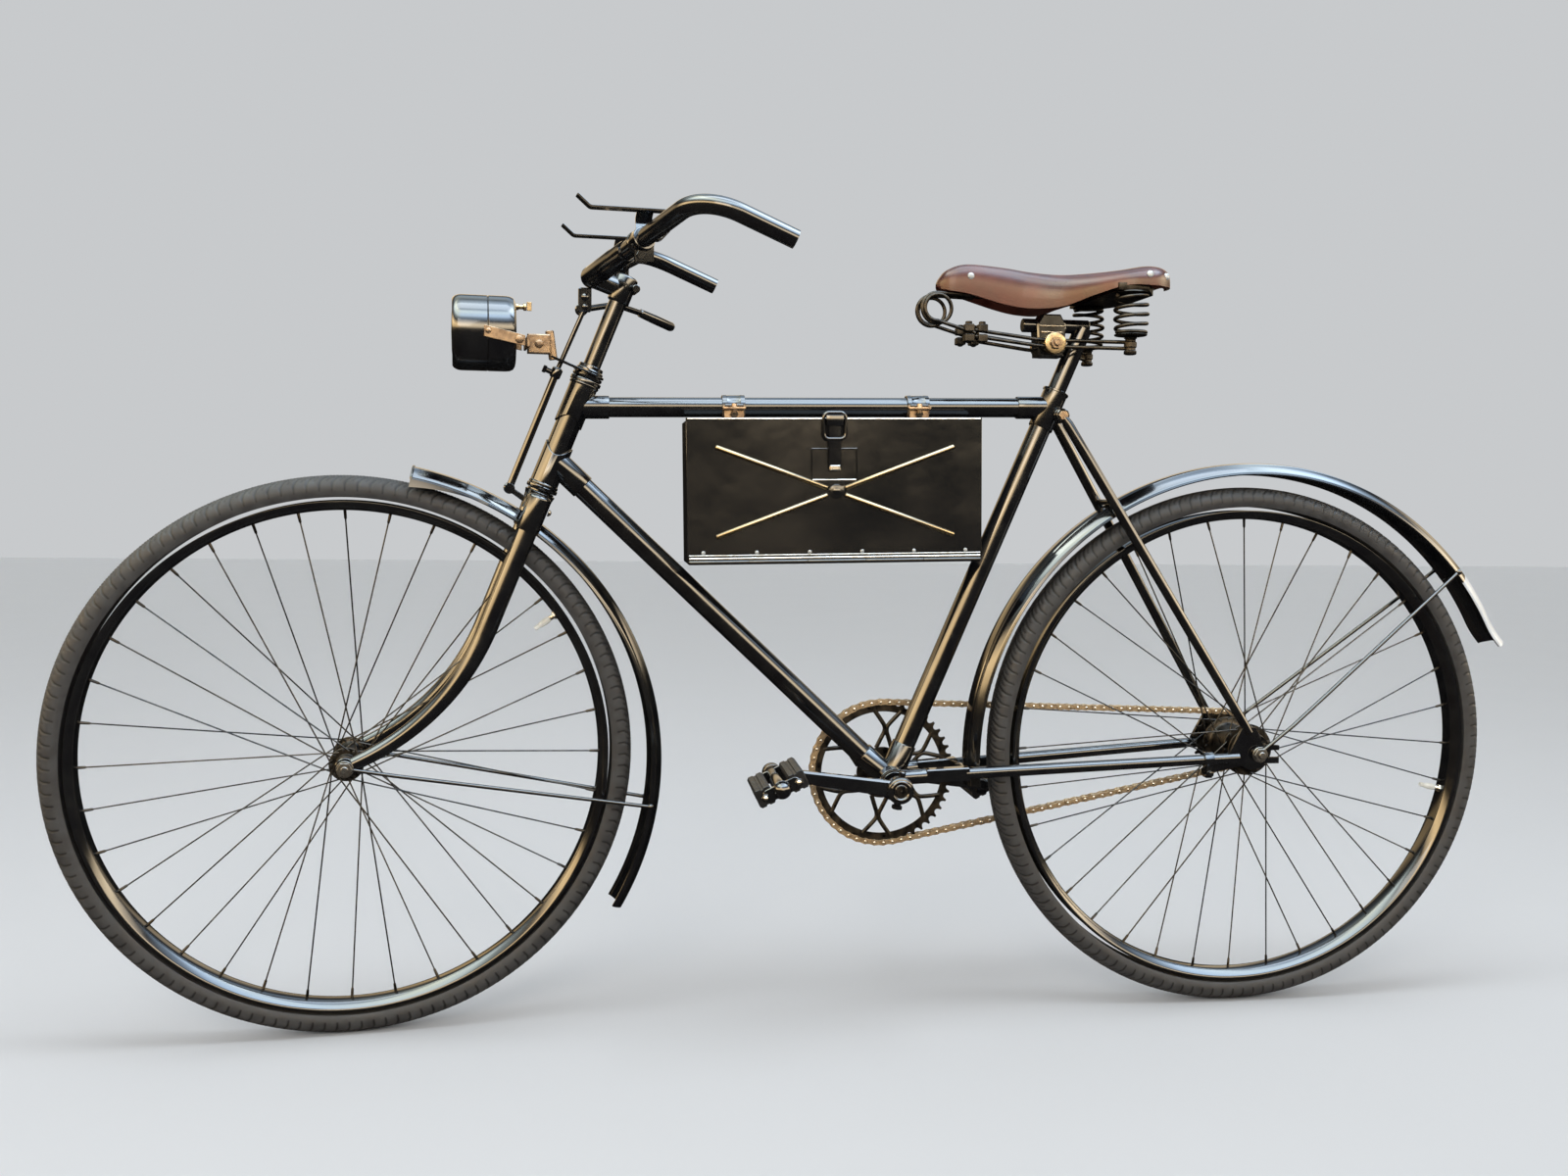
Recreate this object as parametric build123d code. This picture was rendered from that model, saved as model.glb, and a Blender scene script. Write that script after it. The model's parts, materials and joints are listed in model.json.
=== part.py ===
from build123d import *
import os
from math import acos, atan2, cos, degrees, hypot, pi, radians, sin, tan

# Military roadster bicycle with a steel case in its frame. Millimetres.
# While modelling, the origin is on the floor under the rear axle: +X forward, +Y to the rider's left, +Z up.
# Every solid moves to the saddle top, where the rider sits, when it is written.

# Driving dimensions: wheels and frame lines. The frame grows with the tyres that it has to clear.
TYRE_R = 355.5
TYRE_H = 32.0
TYRE_W = 39.0
TREAD_W = 13.0
RIM_R = TYRE_R - TYRE_H
RIM_H = 10.7
RIM_IN_R = RIM_R - RIM_H
RIM_W = 35.0
RIM_BED_W = 20.0
BRACKET_X = TYRE_R + 133.8
BRACKET_Z = TYRE_R - 39.8
SEAT_TUBE_L = TYRE_R + 183.556
WHEELBASE = BRACKET_X + 696.4
HEAD_ANGLE = 68.2
SEAT_ANGLE = 67.3
FORK_RAKE = 95.5
STEER = 6.2

# Tube radii
TOP_TUBE_R = 12.7
DOWN_TUBE_R = 14.3
SEAT_TUBE_R = 14.3
HEAD_TUBE_R = 15.9
HEAD_BORE_R = 14.4
STEERER_R = 12.7
STEM_R = 11.1
POST_R = 12.2
LUG_WALL = 2.0
STAY_R = 8.0
SEAT_STAY_R = 7.0
RUN_GAP = 0.3
PIN_GAP = 0.08

# Heights along the steering axis, measured up from the point abreast of the front axle
CROWN_LOW = TYRE_R + 20.5
CROWN_TOP = CROWN_LOW + 22.0
HEAD_LOW = CROWN_TOP + 14.5
HEAD_TOP = HEAD_LOW + 134.5
TOP_TUBE_AT = HEAD_TOP - 29.53
DOWN_TUBE_AT = HEAD_LOW + 33.24
CUP_H = 9.0
CONE_H = 6.0
LAMP_PLATE_T = 2.5
LOCK_NUT_H = 9.0
CROWN_HALF_DEPTH = 14.0
BLADE_TOP = CROWN_LOW - 24.0
BLADE_R = 13.0
BLADE_MID_R = 12.0
BLADE_LOW_R = 8.5
BLADE_SWEEP = 43.2
BLADE_BEND_R = 300.0
BLADE_STEPS = 6
CROWN_BOSS_R = 18.0
FORK_TOP_Y = 41.0
STEM_TOP = HEAD_TOP + 149.0
CUP_R = 20.0

# Hubs and axles
AXLE_R = 4.75
FORK_END_Y = 47.5
FORK_END_T = 5.0
DROPOUT_Y = 57.0
DROPOUT_T = 5.0
EYE_Y = 16.3
FRONT_FLANGE_Y = 31.0
FRONT_FLANGE_R = 21.0
REAR_FLANGE_Y = 29.0
REAR_FLANGE_R = 35.0
HUB_LEFT = 44.0
FLANGE_T = 4.0
SPOKES = 36
SPOKE_D = 1.9

# Drive
PITCH = 12.7
CHAINWHEEL_TEETH = 48
SPROCKET_TEETH = 20
CHAIN_LINE = 47.0
TOOTH_T = 3.0
ROLLER_R = 3.9
TOOTH_UP = 3.2
PLATE_T = 1.1
PLATE_H = 8.4
PLATE_GAP = 4.4
SPROCKET_CLEAR = 30.0
SHELL_R = 21.0
SHELL_W = 68.0
SPINDLE_R = 8.0
CRANK_LENGTH = 168.0
CRANK_ANGLE = 8.5
CRANK_INNER_Y = 58.0
CRANK_T = 13.0
CRANK_BOSS_R = 17.5
CRANK_EYE_R = 12.0
CRANK_WIDE = 21.0
CRANK_SLIM = 15.0
PEDAL_AXLE_R = 6.5
PEDAL_TILT = 25.0
WHEEL_RING_R = 84.0
WHEEL_HUB_R = 35.0
WHEEL_TURN = 29.0
WAIST_R = 61.0
LEG_W = 4.5
STAY_BOX_START = 38.0
STAY_BOX_END = 95.0
STAY_BOX_W = 15.0
STAY_BOX_H = 18.0
SEAT_BRIDGE_AT = 134.0
CHAIN_BRIDGE_AT = 88.0
BRIDGE_R = 4.0
PEDAL_L = 88.0
PEDAL_BLOCK_W = 27.0
PEDAL_BLOCK_H = 24.0
PEDAL_SPREAD = 38.0

# Guards: crest radius from the guard's own centre, set off from the axle
GUARD_HALF_W = 24.5
GUARD_DEPTH = 15.0
GUARD_T = 1.2
FRONT_GUARD_R = TYRE_R + 35.5
FRONT_GUARD_OFFSET = (-4.7, 0.0, -16.0)
FRONT_GUARD_START = 101.5
FRONT_GUARD_END = 210.0
REAR_GUARD_R = TYRE_R + 43.0
REAR_GUARD_OFFSET = (-11.0, 0.0, -10.0)
REAR_GUARD_START = -5.5
REAR_GUARD_END = 157.5
GUARD_STAY_R = 2.6
FRONT_STAY_ANGLE = 188.5
REAR_STAY_ANGLE = 139.0
STAY_KNEE = 60.0
TAIL_ARC = 16.0

# Case
CASE_L = 375.0
CASE_TALL = 182.0
CASE_T = 110.0
CASE_WALL = 1.5
CASE_BACK = 109.785
CASE_CLEAR = 5.0
CASE_TOP_DROP = 18.0
RIM_DEPTH = 7.0
RIB_SHARE_X = 0.405
RIB_SHARE_Z = 0.308
LATCH_X = 2.5
POCKET_HALF_W = 29.0
POCKET_TOP = 37.0
POCKET_H = 40.0
POCKET_DEPTH = 0.7
CLAMP_PLACES = (125.0, -117.0)
CLAMP_HALF_L = 14.5
DOOR_T = 1.5
DOOR_GAP = 0.4
RIB_W = 6.0
HINGE_R = 3.0

# Handlebar and lamp
BAR_R = 11.0
BAR_BEND_R = 60.0
BAR_APEX_R = 30.0
SLEEVE_Y = 88.0
REST_Y = 118.0
REST_T = 3.0
REST_W = 18.0
LAMP_L = 77.0
LAMP_R = 46.5
LAMP_POST_Y = 14.0

# Saddle and its springs
POST_ARM_R = 9.0
CLAMP_FLAT = 17.0
COIL_Y = 78.0
COIL_R = 21.0
COIL_TURNS = 4
COIL_WIRE = 4.5
NOSE_LOOP_R = 19.0
NOSE_LOOP_IN_R = 15.0
NOSE_Y = 14.0
WIRE_Y = 26.0
LEATHER_T = 5.0
FRAME_WIRE = 5.0

# Lines and points that follow from the sizes above
FRONT_AXLE = Vector(WHEELBASE, 0, TYRE_R)
REAR_AXLE = Vector(0, 0, TYRE_R)
BRACKET = Vector(BRACKET_X, 0, BRACKET_Z)
AXIS_UP = Vector(-cos(radians(HEAD_ANGLE)), 0, sin(radians(HEAD_ANGLE)))
AXIS_AHEAD = Vector(sin(radians(HEAD_ANGLE)), 0, cos(radians(HEAD_ANGLE)))
AXIS_FOOT = FRONT_AXLE - AXIS_AHEAD * FORK_RAKE
SEAT_UP = Vector(-cos(radians(SEAT_ANGLE)), 0, sin(radians(SEAT_ANGLE)))
HEAD_FRAME = Location(Plane(origin=AXIS_FOOT, x_dir=AXIS_AHEAD, z_dir=AXIS_UP))
STEERING = Axis(AXIS_FOOT, AXIS_UP)
ACROSS = Location(Plane(origin=(0, 0, 0), x_dir=(1, 0, 0), z_dir=(0, 1, 0)))
TUBE_HEAD = AXIS_FOOT + AXIS_UP * TOP_TUBE_AT
TUBE_SEAT = BRACKET + SEAT_UP * SEAT_TUBE_L
DOWN_HEAD = AXIS_FOOT + AXIS_UP * DOWN_TUBE_AT
EYE_X = TUBE_SEAT.X - 12.275
EYE_Z = TUBE_SEAT.Z - 11.0

# Handlebar and lamp, from the stem's top and the lamp plate's foot
BAR_MIDDLE = AXIS_FOOT + AXIS_UP * STEM_TOP + Vector(46.442, 0, -3.26)
BAR_CORNER = BAR_MIDDLE + Vector(-98, 247, 67)
BAR_END = BAR_MIDDLE + Vector(-204, 249, 24)
REST_Z = BAR_MIDDLE.Z + 69.0
LAMP_PLATE_LOW = HEAD_TOP + CUP_H + RUN_GAP + CONE_H
LAMP_FOOT = AXIS_FOOT + AXIS_UP * LAMP_PLATE_LOW
LAMP_X = LAMP_FOOT.X + 90.79
LAMP_Z = LAMP_FOOT.Z + 46.88

# Saddle, from its top where the rider sits
SEAT_X = TUBE_SEAT.X - 46.275
SEAT_Z = TUBE_SEAT.Z + 171.0
SADDLE_TOP = Vector(SEAT_X, 0, SEAT_Z)
POST_TOP_Z = SEAT_Z - 63.5
POST_ARM_X = SEAT_X + 86.0
CLAMP_X = SEAT_X + 50.0
CLAMP_Z = SEAT_Z - 89.0
COIL_X = SEAT_X - 33.0
COIL_LOW = SEAT_Z - 81.0
COIL_HIGH = SEAT_Z - 29.0
NOSE_LOOP_X = SEAT_X + 205.0
NOSE_LOOP_Z = SEAT_Z - 47.0
NOSE_REST_X = SEAT_X + 150.0
BLOCK_X = SEAT_X + 155.0
BLOCK_Z = SEAT_Z - 78.0


def head_point(s, ahead=0.0, side=0.0):
    """A point at height s on the steering axis, set ahead of it and to one side."""
    return AXIS_FOOT + AXIS_UP * s + AXIS_AHEAD * ahead + Vector(0, side, 0)


def seat_at_z(z):
    return BRACKET + SEAT_UP * ((z - BRACKET.Z) / SEAT_UP.Z)


def towards(start, end, distance):
    return start + (end - start).normalized() * distance


def ring_at(point, direction, radius, sides, across=None):
    """The corners of a regular polygon at the point, square to the direction."""
    if across is None:
        across = (0, 1, 0) if abs(direction.normalized().Y) < 0.9 else (1, 0, 0)
    w = direction.normalized()
    u = (Vector(*across) - w * w.dot(Vector(*across))).normalized()
    v = w.cross(u)
    angles = [2 * pi * (k + 0.5) / sides for k in range(sides)]
    return [point + (u * cos(a) + v * sin(a)) * (radius / cos(pi / sides) ** 0.5) for a in angles]


def skin(rings):
    """A solid lofted through rings of corners, with flat faces between them."""
    faces = [Face(Wire.make_polygon(rings[0])), Face(Wire.make_polygon(rings[-1]))]
    for a, b in zip(rings, rings[1:]):
        for k in range(len(a)):
            j = (k + 1) % len(a)
            normal = (a[j] - a[k]).cross(b[k] - a[k]).normalized()
            if abs(normal.dot(b[j] - a[k])) < 1e-5:
                faces.append(Face(Wire.make_polygon([a[k], a[j], b[j], b[k]])))
                continue
            faces.append(Face(Wire.make_polygon([a[k], a[j], b[j]])))
            faces.append(Face(Wire.make_polygon([a[k], b[j], b[k]])))
    return Solid(Shell(faces))


def rod(start, end, radius, sides=0):
    """A round rod, or one with flat sides where the piece is small."""
    line = end - start
    if sides:
        return skin([ring_at(start, line, radius, sides), ring_at(end, line, radius, sides)])
    return Solid.make_cylinder(radius, line.length, Plane(origin=start, z_dir=line))


def taper(start, end, radius_start, radius_end, sides=12):
    line = end - start
    return skin([ring_at(start, line, radius_start, sides), ring_at(end, line, radius_end, sides)])


def stacked(rows, sides=24):
    """Many-sided discs one after another up +Z, from (low, high, radius) rows."""
    return joined(*[rod(Vector(0, 0, low), Vector(0, 0, high), radius, sides) for low, high, radius in rows])


def rounded(points, bends, steps=4):
    """The points of a bent line, each corner cut into short straight steps on its arc."""
    out = [points[0]]
    for before, corner, after, radius in zip(points, points[1:], points[2:], bends):
        u, v = (before - corner).normalized(), (after - corner).normalized()
        half = acos(u.dot(v)) / 2
        centre = corner + (u + v).normalized() * (radius / sin(half))
        first, last = corner + u * (radius / tan(half)) - centre, corner + v * (radius / tan(half)) - centre
        whole = pi - 2 * half
        for k in range(steps + 1):
            part = k / steps * whole
            out.append(centre + (first * sin(whole - part) + last * sin(part)) * (1 / sin(whole)))
    out.append(points[-1])
    return out


def faceted_tube(points, radii, across, sides):
    """A loft along the points, with a polygon across each."""
    rings = []
    for k, point in enumerate(points):
        direction = Vector(0, 0, 0)
        if k > 0:
            direction += (point - points[k - 1]).normalized()
        if k < len(points) - 1:
            direction += (points[k + 1] - point).normalized()
        rings.append(ring_at(point, direction, radii[k], sides, across))
    return skin(rings)


def faceted_turn(stations, sides=24):
    """A loft along X through regular polygons, from (place, radius) pairs."""
    return skin([ring_at(Vector(x, 0, 0), Vector(1, 0, 0), r, sides) for x, r in stations])


def square_rod(start, end, width, depth=None):
    line = end - start
    return extrude(Plane(origin=start, z_dir=line) * Rectangle(width, depth or width), line.length)


def side_plane(y):
    """The plane at y whose sketches are drawn in x and z."""
    return Plane(origin=(0, y, 0), x_dir=(1, 0, 0), z_dir=(0, -1, 0))


def plate(points, y, thickness):
    """A flat plate drawn in x and z, centred on y."""
    return extrude(side_plane(y) * Polygon(*points, align=None), thickness / 2, both=True)


def disc(x, z, radius, y_from, y_to, sides=0):
    return rod(Vector(x, y_from, z), Vector(x, y_to, z), radius, sides)


def turned(profile, axis=Axis.Y):
    """A solid turned about the axis from (radius, place) points."""
    if axis == Axis.Z:
        return revolve(Plane.XZ * Polygon(*profile, align=None), axis)
    return revolve(Polygon(*profile, align=None), axis)


def mitred_rod(points, width):
    """A bar of square section along straight runs, for wire coils."""
    path = Polyline(*points)
    section = Plane(origin=path @ 0, z_dir=path % 0) * Rectangle(width, width)
    return sweep(section, path=path, transition=Transition.RIGHT)


def joined(first, *others):
    return first.fuse(*others)


def mid_ring(radius, angle, y=0.0):
    """A point of a circle about the origin in the wheel's plane."""
    return Vector(radius * cos(radians(angle)), y, radius * sin(radians(angle)))


# Wheels, turned about Y at the origin
def tyre():
    half = TYRE_W / 2
    section = [
        (RIM_R, -14.0), (RIM_R, 14.0), (RIM_R + 15.5, half),
        (TYRE_R, TREAD_W / 2), (TYRE_R, -TREAD_W / 2), (RIM_R + 15.5, -half),
    ]
    return turned(section)


def rim():
    section = [
        (RIM_IN_R, -RIM_BED_W / 2), (RIM_IN_R, RIM_BED_W / 2),
        (RIM_R, RIM_W / 2), (RIM_R, -RIM_W / 2),
    ]
    return turned(section)


def spokes(flange_y, flange_r):
    """Crossed three times, alternate spokes to alternate flanges."""
    bars = []
    hole_r = flange_r - 2.5
    for k in range(SPOKES):
        side = 1 if k % 2 == 0 else -1
        lean = 1 if (k // 2) % 2 == 0 else -1
        rim_angle = k * 360 / SPOKES
        hub_angle = rim_angle + lean * 60
        start = mid_ring(hole_r, hub_angle, side * (flange_y + lean * 1.8))
        end = mid_ring(RIM_IN_R - 0.3, rim_angle, side * 2.0)
        bars.append(square_rod(start, end, SPOKE_D))
    return bars


def front_hub():
    low, top, end = FRONT_FLANGE_Y - FLANGE_T / 2, FRONT_FLANGE_Y + FLANGE_T / 2, FORK_END_Y - RUN_GAP
    rows = [(-end, -top, 11.0), (-top, -low, FRONT_FLANGE_R), (-low, low, 12.5),
            (low, top, FRONT_FLANGE_R), (top, end, 11.0)]
    body = ACROSS * stacked(rows, 20)
    bore = disc(0, 0, AXLE_R + PIN_GAP, -end - 1, end + 1)
    return joined(body, *spokes(FRONT_FLANGE_Y, FRONT_FLANGE_R)) - bore


def toothed_outline(teeth):
    """Four points to a tooth: two at the root and two at the tip."""
    pitch_r = PITCH / (2 * sin(pi / teeth))
    root, tip = pitch_r - ROLLER_R, pitch_r + TOOTH_UP
    step = 360 / teeth
    points = []
    for k in range(teeth):
        for share, radius in ((0.25, root), (0.42, tip), (0.58, tip), (0.75, root)):
            angle = radians((k + share) * step)
            points.append((radius * cos(angle), radius * sin(angle)))
    return points


def toothed(teeth, y, thickness):
    return plate(toothed_outline(teeth), y, thickness)


def rear_hub():
    low, top, end = REAR_FLANGE_Y - FLANGE_T / 2, REAR_FLANGE_Y + FLANGE_T / 2, DROPOUT_Y - RUN_GAP
    rows = [(-end, -CHAIN_LINE - 3, 13.0), (-CHAIN_LINE - 3, -top, 24.0), (-top, -low, REAR_FLANGE_R),
            (-low, low, 25.0), (low, top, REAR_FLANGE_R), (top, HUB_LEFT, 26.0)]
    body = ACROSS * stacked(rows, 20)
    sprocket = toothed(SPROCKET_TEETH, -CHAIN_LINE, TOOTH_T)
    bore = disc(0, 0, AXLE_R + PIN_GAP, -end - 1, HUB_LEFT + 1)
    return joined(body, sprocket, *spokes(REAR_FLANGE_Y, REAR_FLANGE_R)) - bore


# Frame
def lug_socket(start, direction, length, radius):
    return rod(start, start + direction.normalized() * length, radius + LUG_WALL, 20)


def head_assembly():
    """Head tube with its two lugs and bearing cups, bored for the steerer."""
    low, top, lug_r = HEAD_LOW, HEAD_TOP, HEAD_TUBE_R + LUG_WALL
    rows = [(low - CUP_H, low, CUP_R), (low, low + 50, lug_r), (low + 50, top - 50, HEAD_TUBE_R),
            (top - 50, top, lug_r), (top, top + CUP_H, CUP_R)]
    tube = HEAD_FRAME * stacked(rows)
    sockets = [
        lug_socket(TUBE_HEAD, TUBE_SEAT - TUBE_HEAD, 42, TOP_TUBE_R),
        lug_socket(DOWN_HEAD, BRACKET - DOWN_HEAD, 50, DOWN_TUBE_R),
    ]
    bore = rod(head_point(low - 30), head_point(top + 30), HEAD_BORE_R)
    return joined(tube, *sockets) - bore


def bracket_shell():
    """Bottom bracket shell with the sockets of the tubes that meet there."""
    half = SHELL_W / 2
    shell = disc(BRACKET_X, BRACKET_Z, SHELL_R, -half, half, 24)
    sockets = [
        lug_socket(BRACKET, SEAT_UP, 52, SEAT_TUBE_R),
        lug_socket(BRACKET, DOWN_HEAD - BRACKET, 52, DOWN_TUBE_R),
    ]
    for side in (1, -1):
        start, end = chain_stay_line(side)
        sockets.append(rod(start, towards(start, end, STAY_BOX_START), STAY_R + LUG_WALL, 12))
    bore = disc(BRACKET_X, BRACKET_Z, SPINDLE_R + PIN_GAP, -half - 5, half + 5)
    cups = [disc(BRACKET_X, BRACKET_Z, SHELL_R - 3, side * half, side * (half + 4), 24) for side in (1, -1)]
    return joined(shell, *sockets, *cups) - bore


def chain_stay_line(side):
    start = Vector(BRACKET_X - 6, side * 26.0, BRACKET_Z + 8)
    end = Vector(26.0, side * (DROPOUT_Y + DROPOUT_T / 2), TYRE_R - 5)
    return start, end


def seat_stay_line(side):
    start = Vector(EYE_X, side * (EYE_Y + 4.5), EYE_Z)
    end = Vector(12.0, side * (DROPOUT_Y + DROPOUT_T / 2), TYRE_R + 28)
    return start, end


def chain_stay(side):
    """A box section behind the bracket, then a round taper to the fork end."""
    start, end = chain_stay_line(side)
    a, b = towards(start, end, STAY_BOX_START), towards(start, end, STAY_BOX_END)
    line = (end - start).normalized()
    across = Vector(0, 1, 0) - line * line.Y
    box = extrude(Plane(origin=a, x_dir=across, z_dir=line) * Rectangle(STAY_BOX_W, STAY_BOX_H), (b - a).length)
    return joined(box, taper(b, end, STAY_R, STAY_R - 1.5))


def stay_bridges(stays):
    """Short rods between the two chain stays and the two seat stays, against the guard's crest."""
    centre = REAR_AXLE + Vector(*REAR_GUARD_OFFSET)
    rods = []
    for line, distance in ((chain_stay_line, CHAIN_BRIDGE_AT), (seat_stay_line, SEAT_BRIDGE_AT)):
        at = towards(*line(1), distance)
        outward = Vector(at.X - centre.X, 0, at.Z - centre.Z).normalized()
        middle = centre + outward * (REAR_GUARD_R + BRIDGE_R + 0.2)
        rods.append(disc(middle.X, middle.Z, BRIDGE_R, -at.Y, at.Y, 10))
    return [bridge.cut(*stays) for bridge in rods]


def seat_stay(side):
    start, end = seat_stay_line(side)
    eye = disc(start.X, start.Z, 9.0, side * EYE_Y, side * (EYE_Y + 6.5), 12)
    tube = taper(towards(start, end, 4), end, SEAT_STAY_R, SEAT_STAY_R - 1.0)
    return joined(eye, tube)


def rear_end(side):
    """Fork end: a flat plate joining both stays, with a slot open to the rear for the axle."""
    mid = side * (DROPOUT_Y + DROPOUT_T / 2)
    z = TYRE_R
    outline = [(40, z - 13), (40, z + 2), (22, z + 36), (4, z + 36),
               (-6, z + 13), (-30, z + 11), (-30, z - 13)]
    body = plate(outline, mid, DROPOUT_T)
    slot = [(AXLE_R + 1, z - AXLE_R - PIN_GAP), (AXLE_R + 1, z + AXLE_R + PIN_GAP),
            (-40, z + AXLE_R + PIN_GAP), (-40, z - AXLE_R - PIN_GAP)]
    return body - plate(slot, mid, DROPOUT_T + 2) - chain_stay(side) - seat_stay(side)


def seat_lug():
    """Seat lug with the top tube's socket, a slit collar and the ears of its clamp bolt."""
    collar = rod(TUBE_SEAT - SEAT_UP * 30, TUBE_SEAT + SEAT_UP * 22, SEAT_TUBE_R + LUG_WALL, 20)
    socket = lug_socket(TUBE_SEAT, TUBE_HEAD - TUBE_SEAT, 45, TOP_TUBE_R)
    ear = disc(EYE_X, EYE_Z, 10.0, -EYE_Y, EYE_Y, 12)
    return joined(collar, socket, ear)


def frame_tube(start, end, radius, trim_start, trim_end):
    return rod(towards(start, end, trim_start), towards(end, start, trim_end), radius)


def seat_pillar():
    """Seven-shaped saddle pillar: up out of the seat tube, then forward."""
    low = TUBE_SEAT + SEAT_UP * 22
    knee = seat_at_z(POST_TOP_Z)
    arm_end = Vector(POST_ARM_X, 0, POST_TOP_Z)
    upright = rod(low, knee - SEAT_UP * 3, POST_R)
    arm = rod(knee - Vector(6, 0, 0), arm_end, POST_ARM_R)
    return joined(upright, arm)


# Saddle, with its clamp, wire frame and coils
def saddle_clamp():
    """Clamp hung on the pillar's arm, with washers on both sides of the frame wires."""
    top = POST_TOP_Z + POST_ARM_R + 5
    outline = [(CLAMP_X - 17, CLAMP_Z - 16), (CLAMP_X + 17, CLAMP_Z - 16), (CLAMP_X + 20, POST_TOP_Z),
               (CLAMP_X + 12, top), (CLAMP_X - 12, top), (CLAMP_X - 20, POST_TOP_Z)]
    body = plate(outline, 0, 30)
    bore = rod(Vector(CLAMP_X - 40, 0, POST_TOP_Z), Vector(CLAMP_X + 40, 0, POST_TOP_Z), POST_ARM_R)
    bolt = disc(CLAMP_X, CLAMP_Z, 5.0, -WIRE_Y - 14, WIRE_Y + 14, 8)
    washers = []
    for side in (1, -1):
        inner, outer = side * (WIRE_Y - FRAME_WIRE / 2), side * (WIRE_Y + FRAME_WIRE / 2)
        washers.append(disc(CLAMP_X, CLAMP_Z, 14.0, side * 15, inner, 12))
        washers.append(disc(CLAMP_X, CLAMP_Z, 14.0, outer, outer + side * 4, 12))
    return joined(body, bolt, *washers) - bore


def nose_coil(side):
    """A flat spiral of one and a half turns, from under the nose round the front and back out below."""
    points = [Vector(NOSE_REST_X, side * NOSE_Y, NOSE_LOOP_Z + NOSE_LOOP_R)]
    steps = 18
    for k in range(steps + 1):
        angle = radians(90 - 540 * k / steps)
        radius = NOSE_LOOP_R - (NOSE_LOOP_R - NOSE_LOOP_IN_R) * k / steps
        y = side * (NOSE_Y + (FRAME_WIRE + 1.5) * k / steps)
        points.append(Vector(NOSE_LOOP_X + radius * cos(angle), y, NOSE_LOOP_Z + radius * sin(angle)))
    return points


def saddle_frame(leather):
    """Each side: a nose coil, a block that gathers the wires, and two wires back to the rear coil's foot."""
    parts = []
    for side in (1, -1):
        points = nose_coil(side)
        block = Vector(BLOCK_X, side * (NOSE_Y + FRAME_WIRE + 1.5), BLOCK_Z)
        points.append(block)
        foot = Vector(COIL_X, side * COIL_Y, COIL_LOW - 14)
        post = rod(foot - Vector(0, 0, 12), foot + Vector(0, 0, 12), 8.0, 12)
        wires = [mitred_rod(points, FRAME_WIRE)]
        for rise in (FRAME_WIRE * 0.8, -FRAME_WIRE * 0.8):
            lift = Vector(0, 0, rise)
            middle = Vector(CLAMP_X, side * WIRE_Y, CLAMP_Z) + lift
            straight = Vector(CLAMP_FLAT, 0, 0)
            wires.append(mitred_rod([block + lift, middle + straight, middle - straight, foot + lift], FRAME_WIRE))
        gather = Solid.make_box(32, 13, 24, Plane(origin=(BLOCK_X - 16, block.Y - 6.5, BLOCK_Z - 12)))
        parts.append(joined(post, gather, *wires))
    bolt = disc(CLAMP_X, CLAMP_Z, 5.0, -WIRE_Y - 20, WIRE_Y + 20, 8)
    bridge = Solid.make_box(10, 2 * NOSE_Y + 4, 16, Plane(origin=(BLOCK_X - 5, -NOSE_Y - 2, BLOCK_Z - 8)))
    nose_low = Plane(origin=(NOSE_REST_X - 15, -NOSE_Y - 5, NOSE_LOOP_Z + NOSE_LOOP_R))
    nose = Solid.make_box(30, 2 * NOSE_Y + 10, 6, nose_low)
    return joined(parts[0], parts[1], bridge, nose) - bolt - leather


def coil_spring(side):
    """Four turns of wire, whose ends sink a little into a disc above and a disc below."""
    points = []
    steps = 8 * COIL_TURNS
    low, high = COIL_LOW + COIL_WIRE / 2 - 0.8, COIL_HIGH - COIL_WIRE / 2 + 0.8
    for k in range(steps + 1):
        angle = 2 * pi * COIL_TURNS * k / steps
        x, y = COIL_X + COIL_R * cos(angle), COIL_Y + COIL_R * sin(angle)
        points.append(Vector(x, side * y, low + (high - low) * k / steps))
    centre = Vector(COIL_X, side * COIL_Y, 0)
    foot = rod(centre + Vector(0, 0, COIL_LOW - 2), centre + Vector(0, 0, COIL_LOW), COIL_R + 2, 16)
    head = rod(centre + Vector(0, 0, COIL_HIGH), centre + Vector(0, 0, COIL_HIGH + 2), COIL_R + 2, 16)
    return joined(mitred_rod(points, COIL_WIRE), foot, head)


def cantle_plate(leather):
    """Pressed steel plate under the back of the leather, which the coils carry."""
    outline = [(COIL_X + 22, -92), (COIL_X + 22, 92), (COIL_X - 18, 92),
               (COIL_X - 40, 50), (COIL_X - 40, -50), (COIL_X - 18, -92)]
    sketch = Plane(origin=(0, 0, COIL_HIGH + 2)) * Polygon(*outline, align=None)
    return extrude(sketch, 9) - leather


SADDLE_STATIONS = [
    # place ahead of the saddle's top, half width, crown height, skirt height
    (201.0, 9.0, -10.0, -20.0),
    (189.0, 20.0, 5.0, -24.0),
    (165.0, 24.0, 12.0, -28.0),
    (117.0, 28.0, 9.0, -41.0),
    (83.0, 36.0, 4.0, -46.0),
    (47.0, 52.0, 0.5, -44.0),
    (15.0, 72.0, 1.0, -32.0),
    (-21.0, 92.0, 4.0, -21.0),
    (-55.0, 99.0, 10.0, -21.0),
    (-79.0, 84.0, 9.0, -21.0),
    (-93.0, 55.0, -4.0, -19.0),
]


def saddle_section(x, half, crown, skirt, inset):
    """An arch across the saddle, closed below by a straight line."""
    half, crown = half - inset, crown - inset
    drop = crown - skirt
    right = [(half, skirt), (half * 0.97, crown - drop * 0.38),
             (half * 0.72, crown - drop * 0.11), (half * 0.28, crown)]
    left = [(-y, z) for y, z in reversed(right)]
    return [SADDLE_TOP + Vector(x, y, z) for y, z in [*right, *left]]


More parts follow.
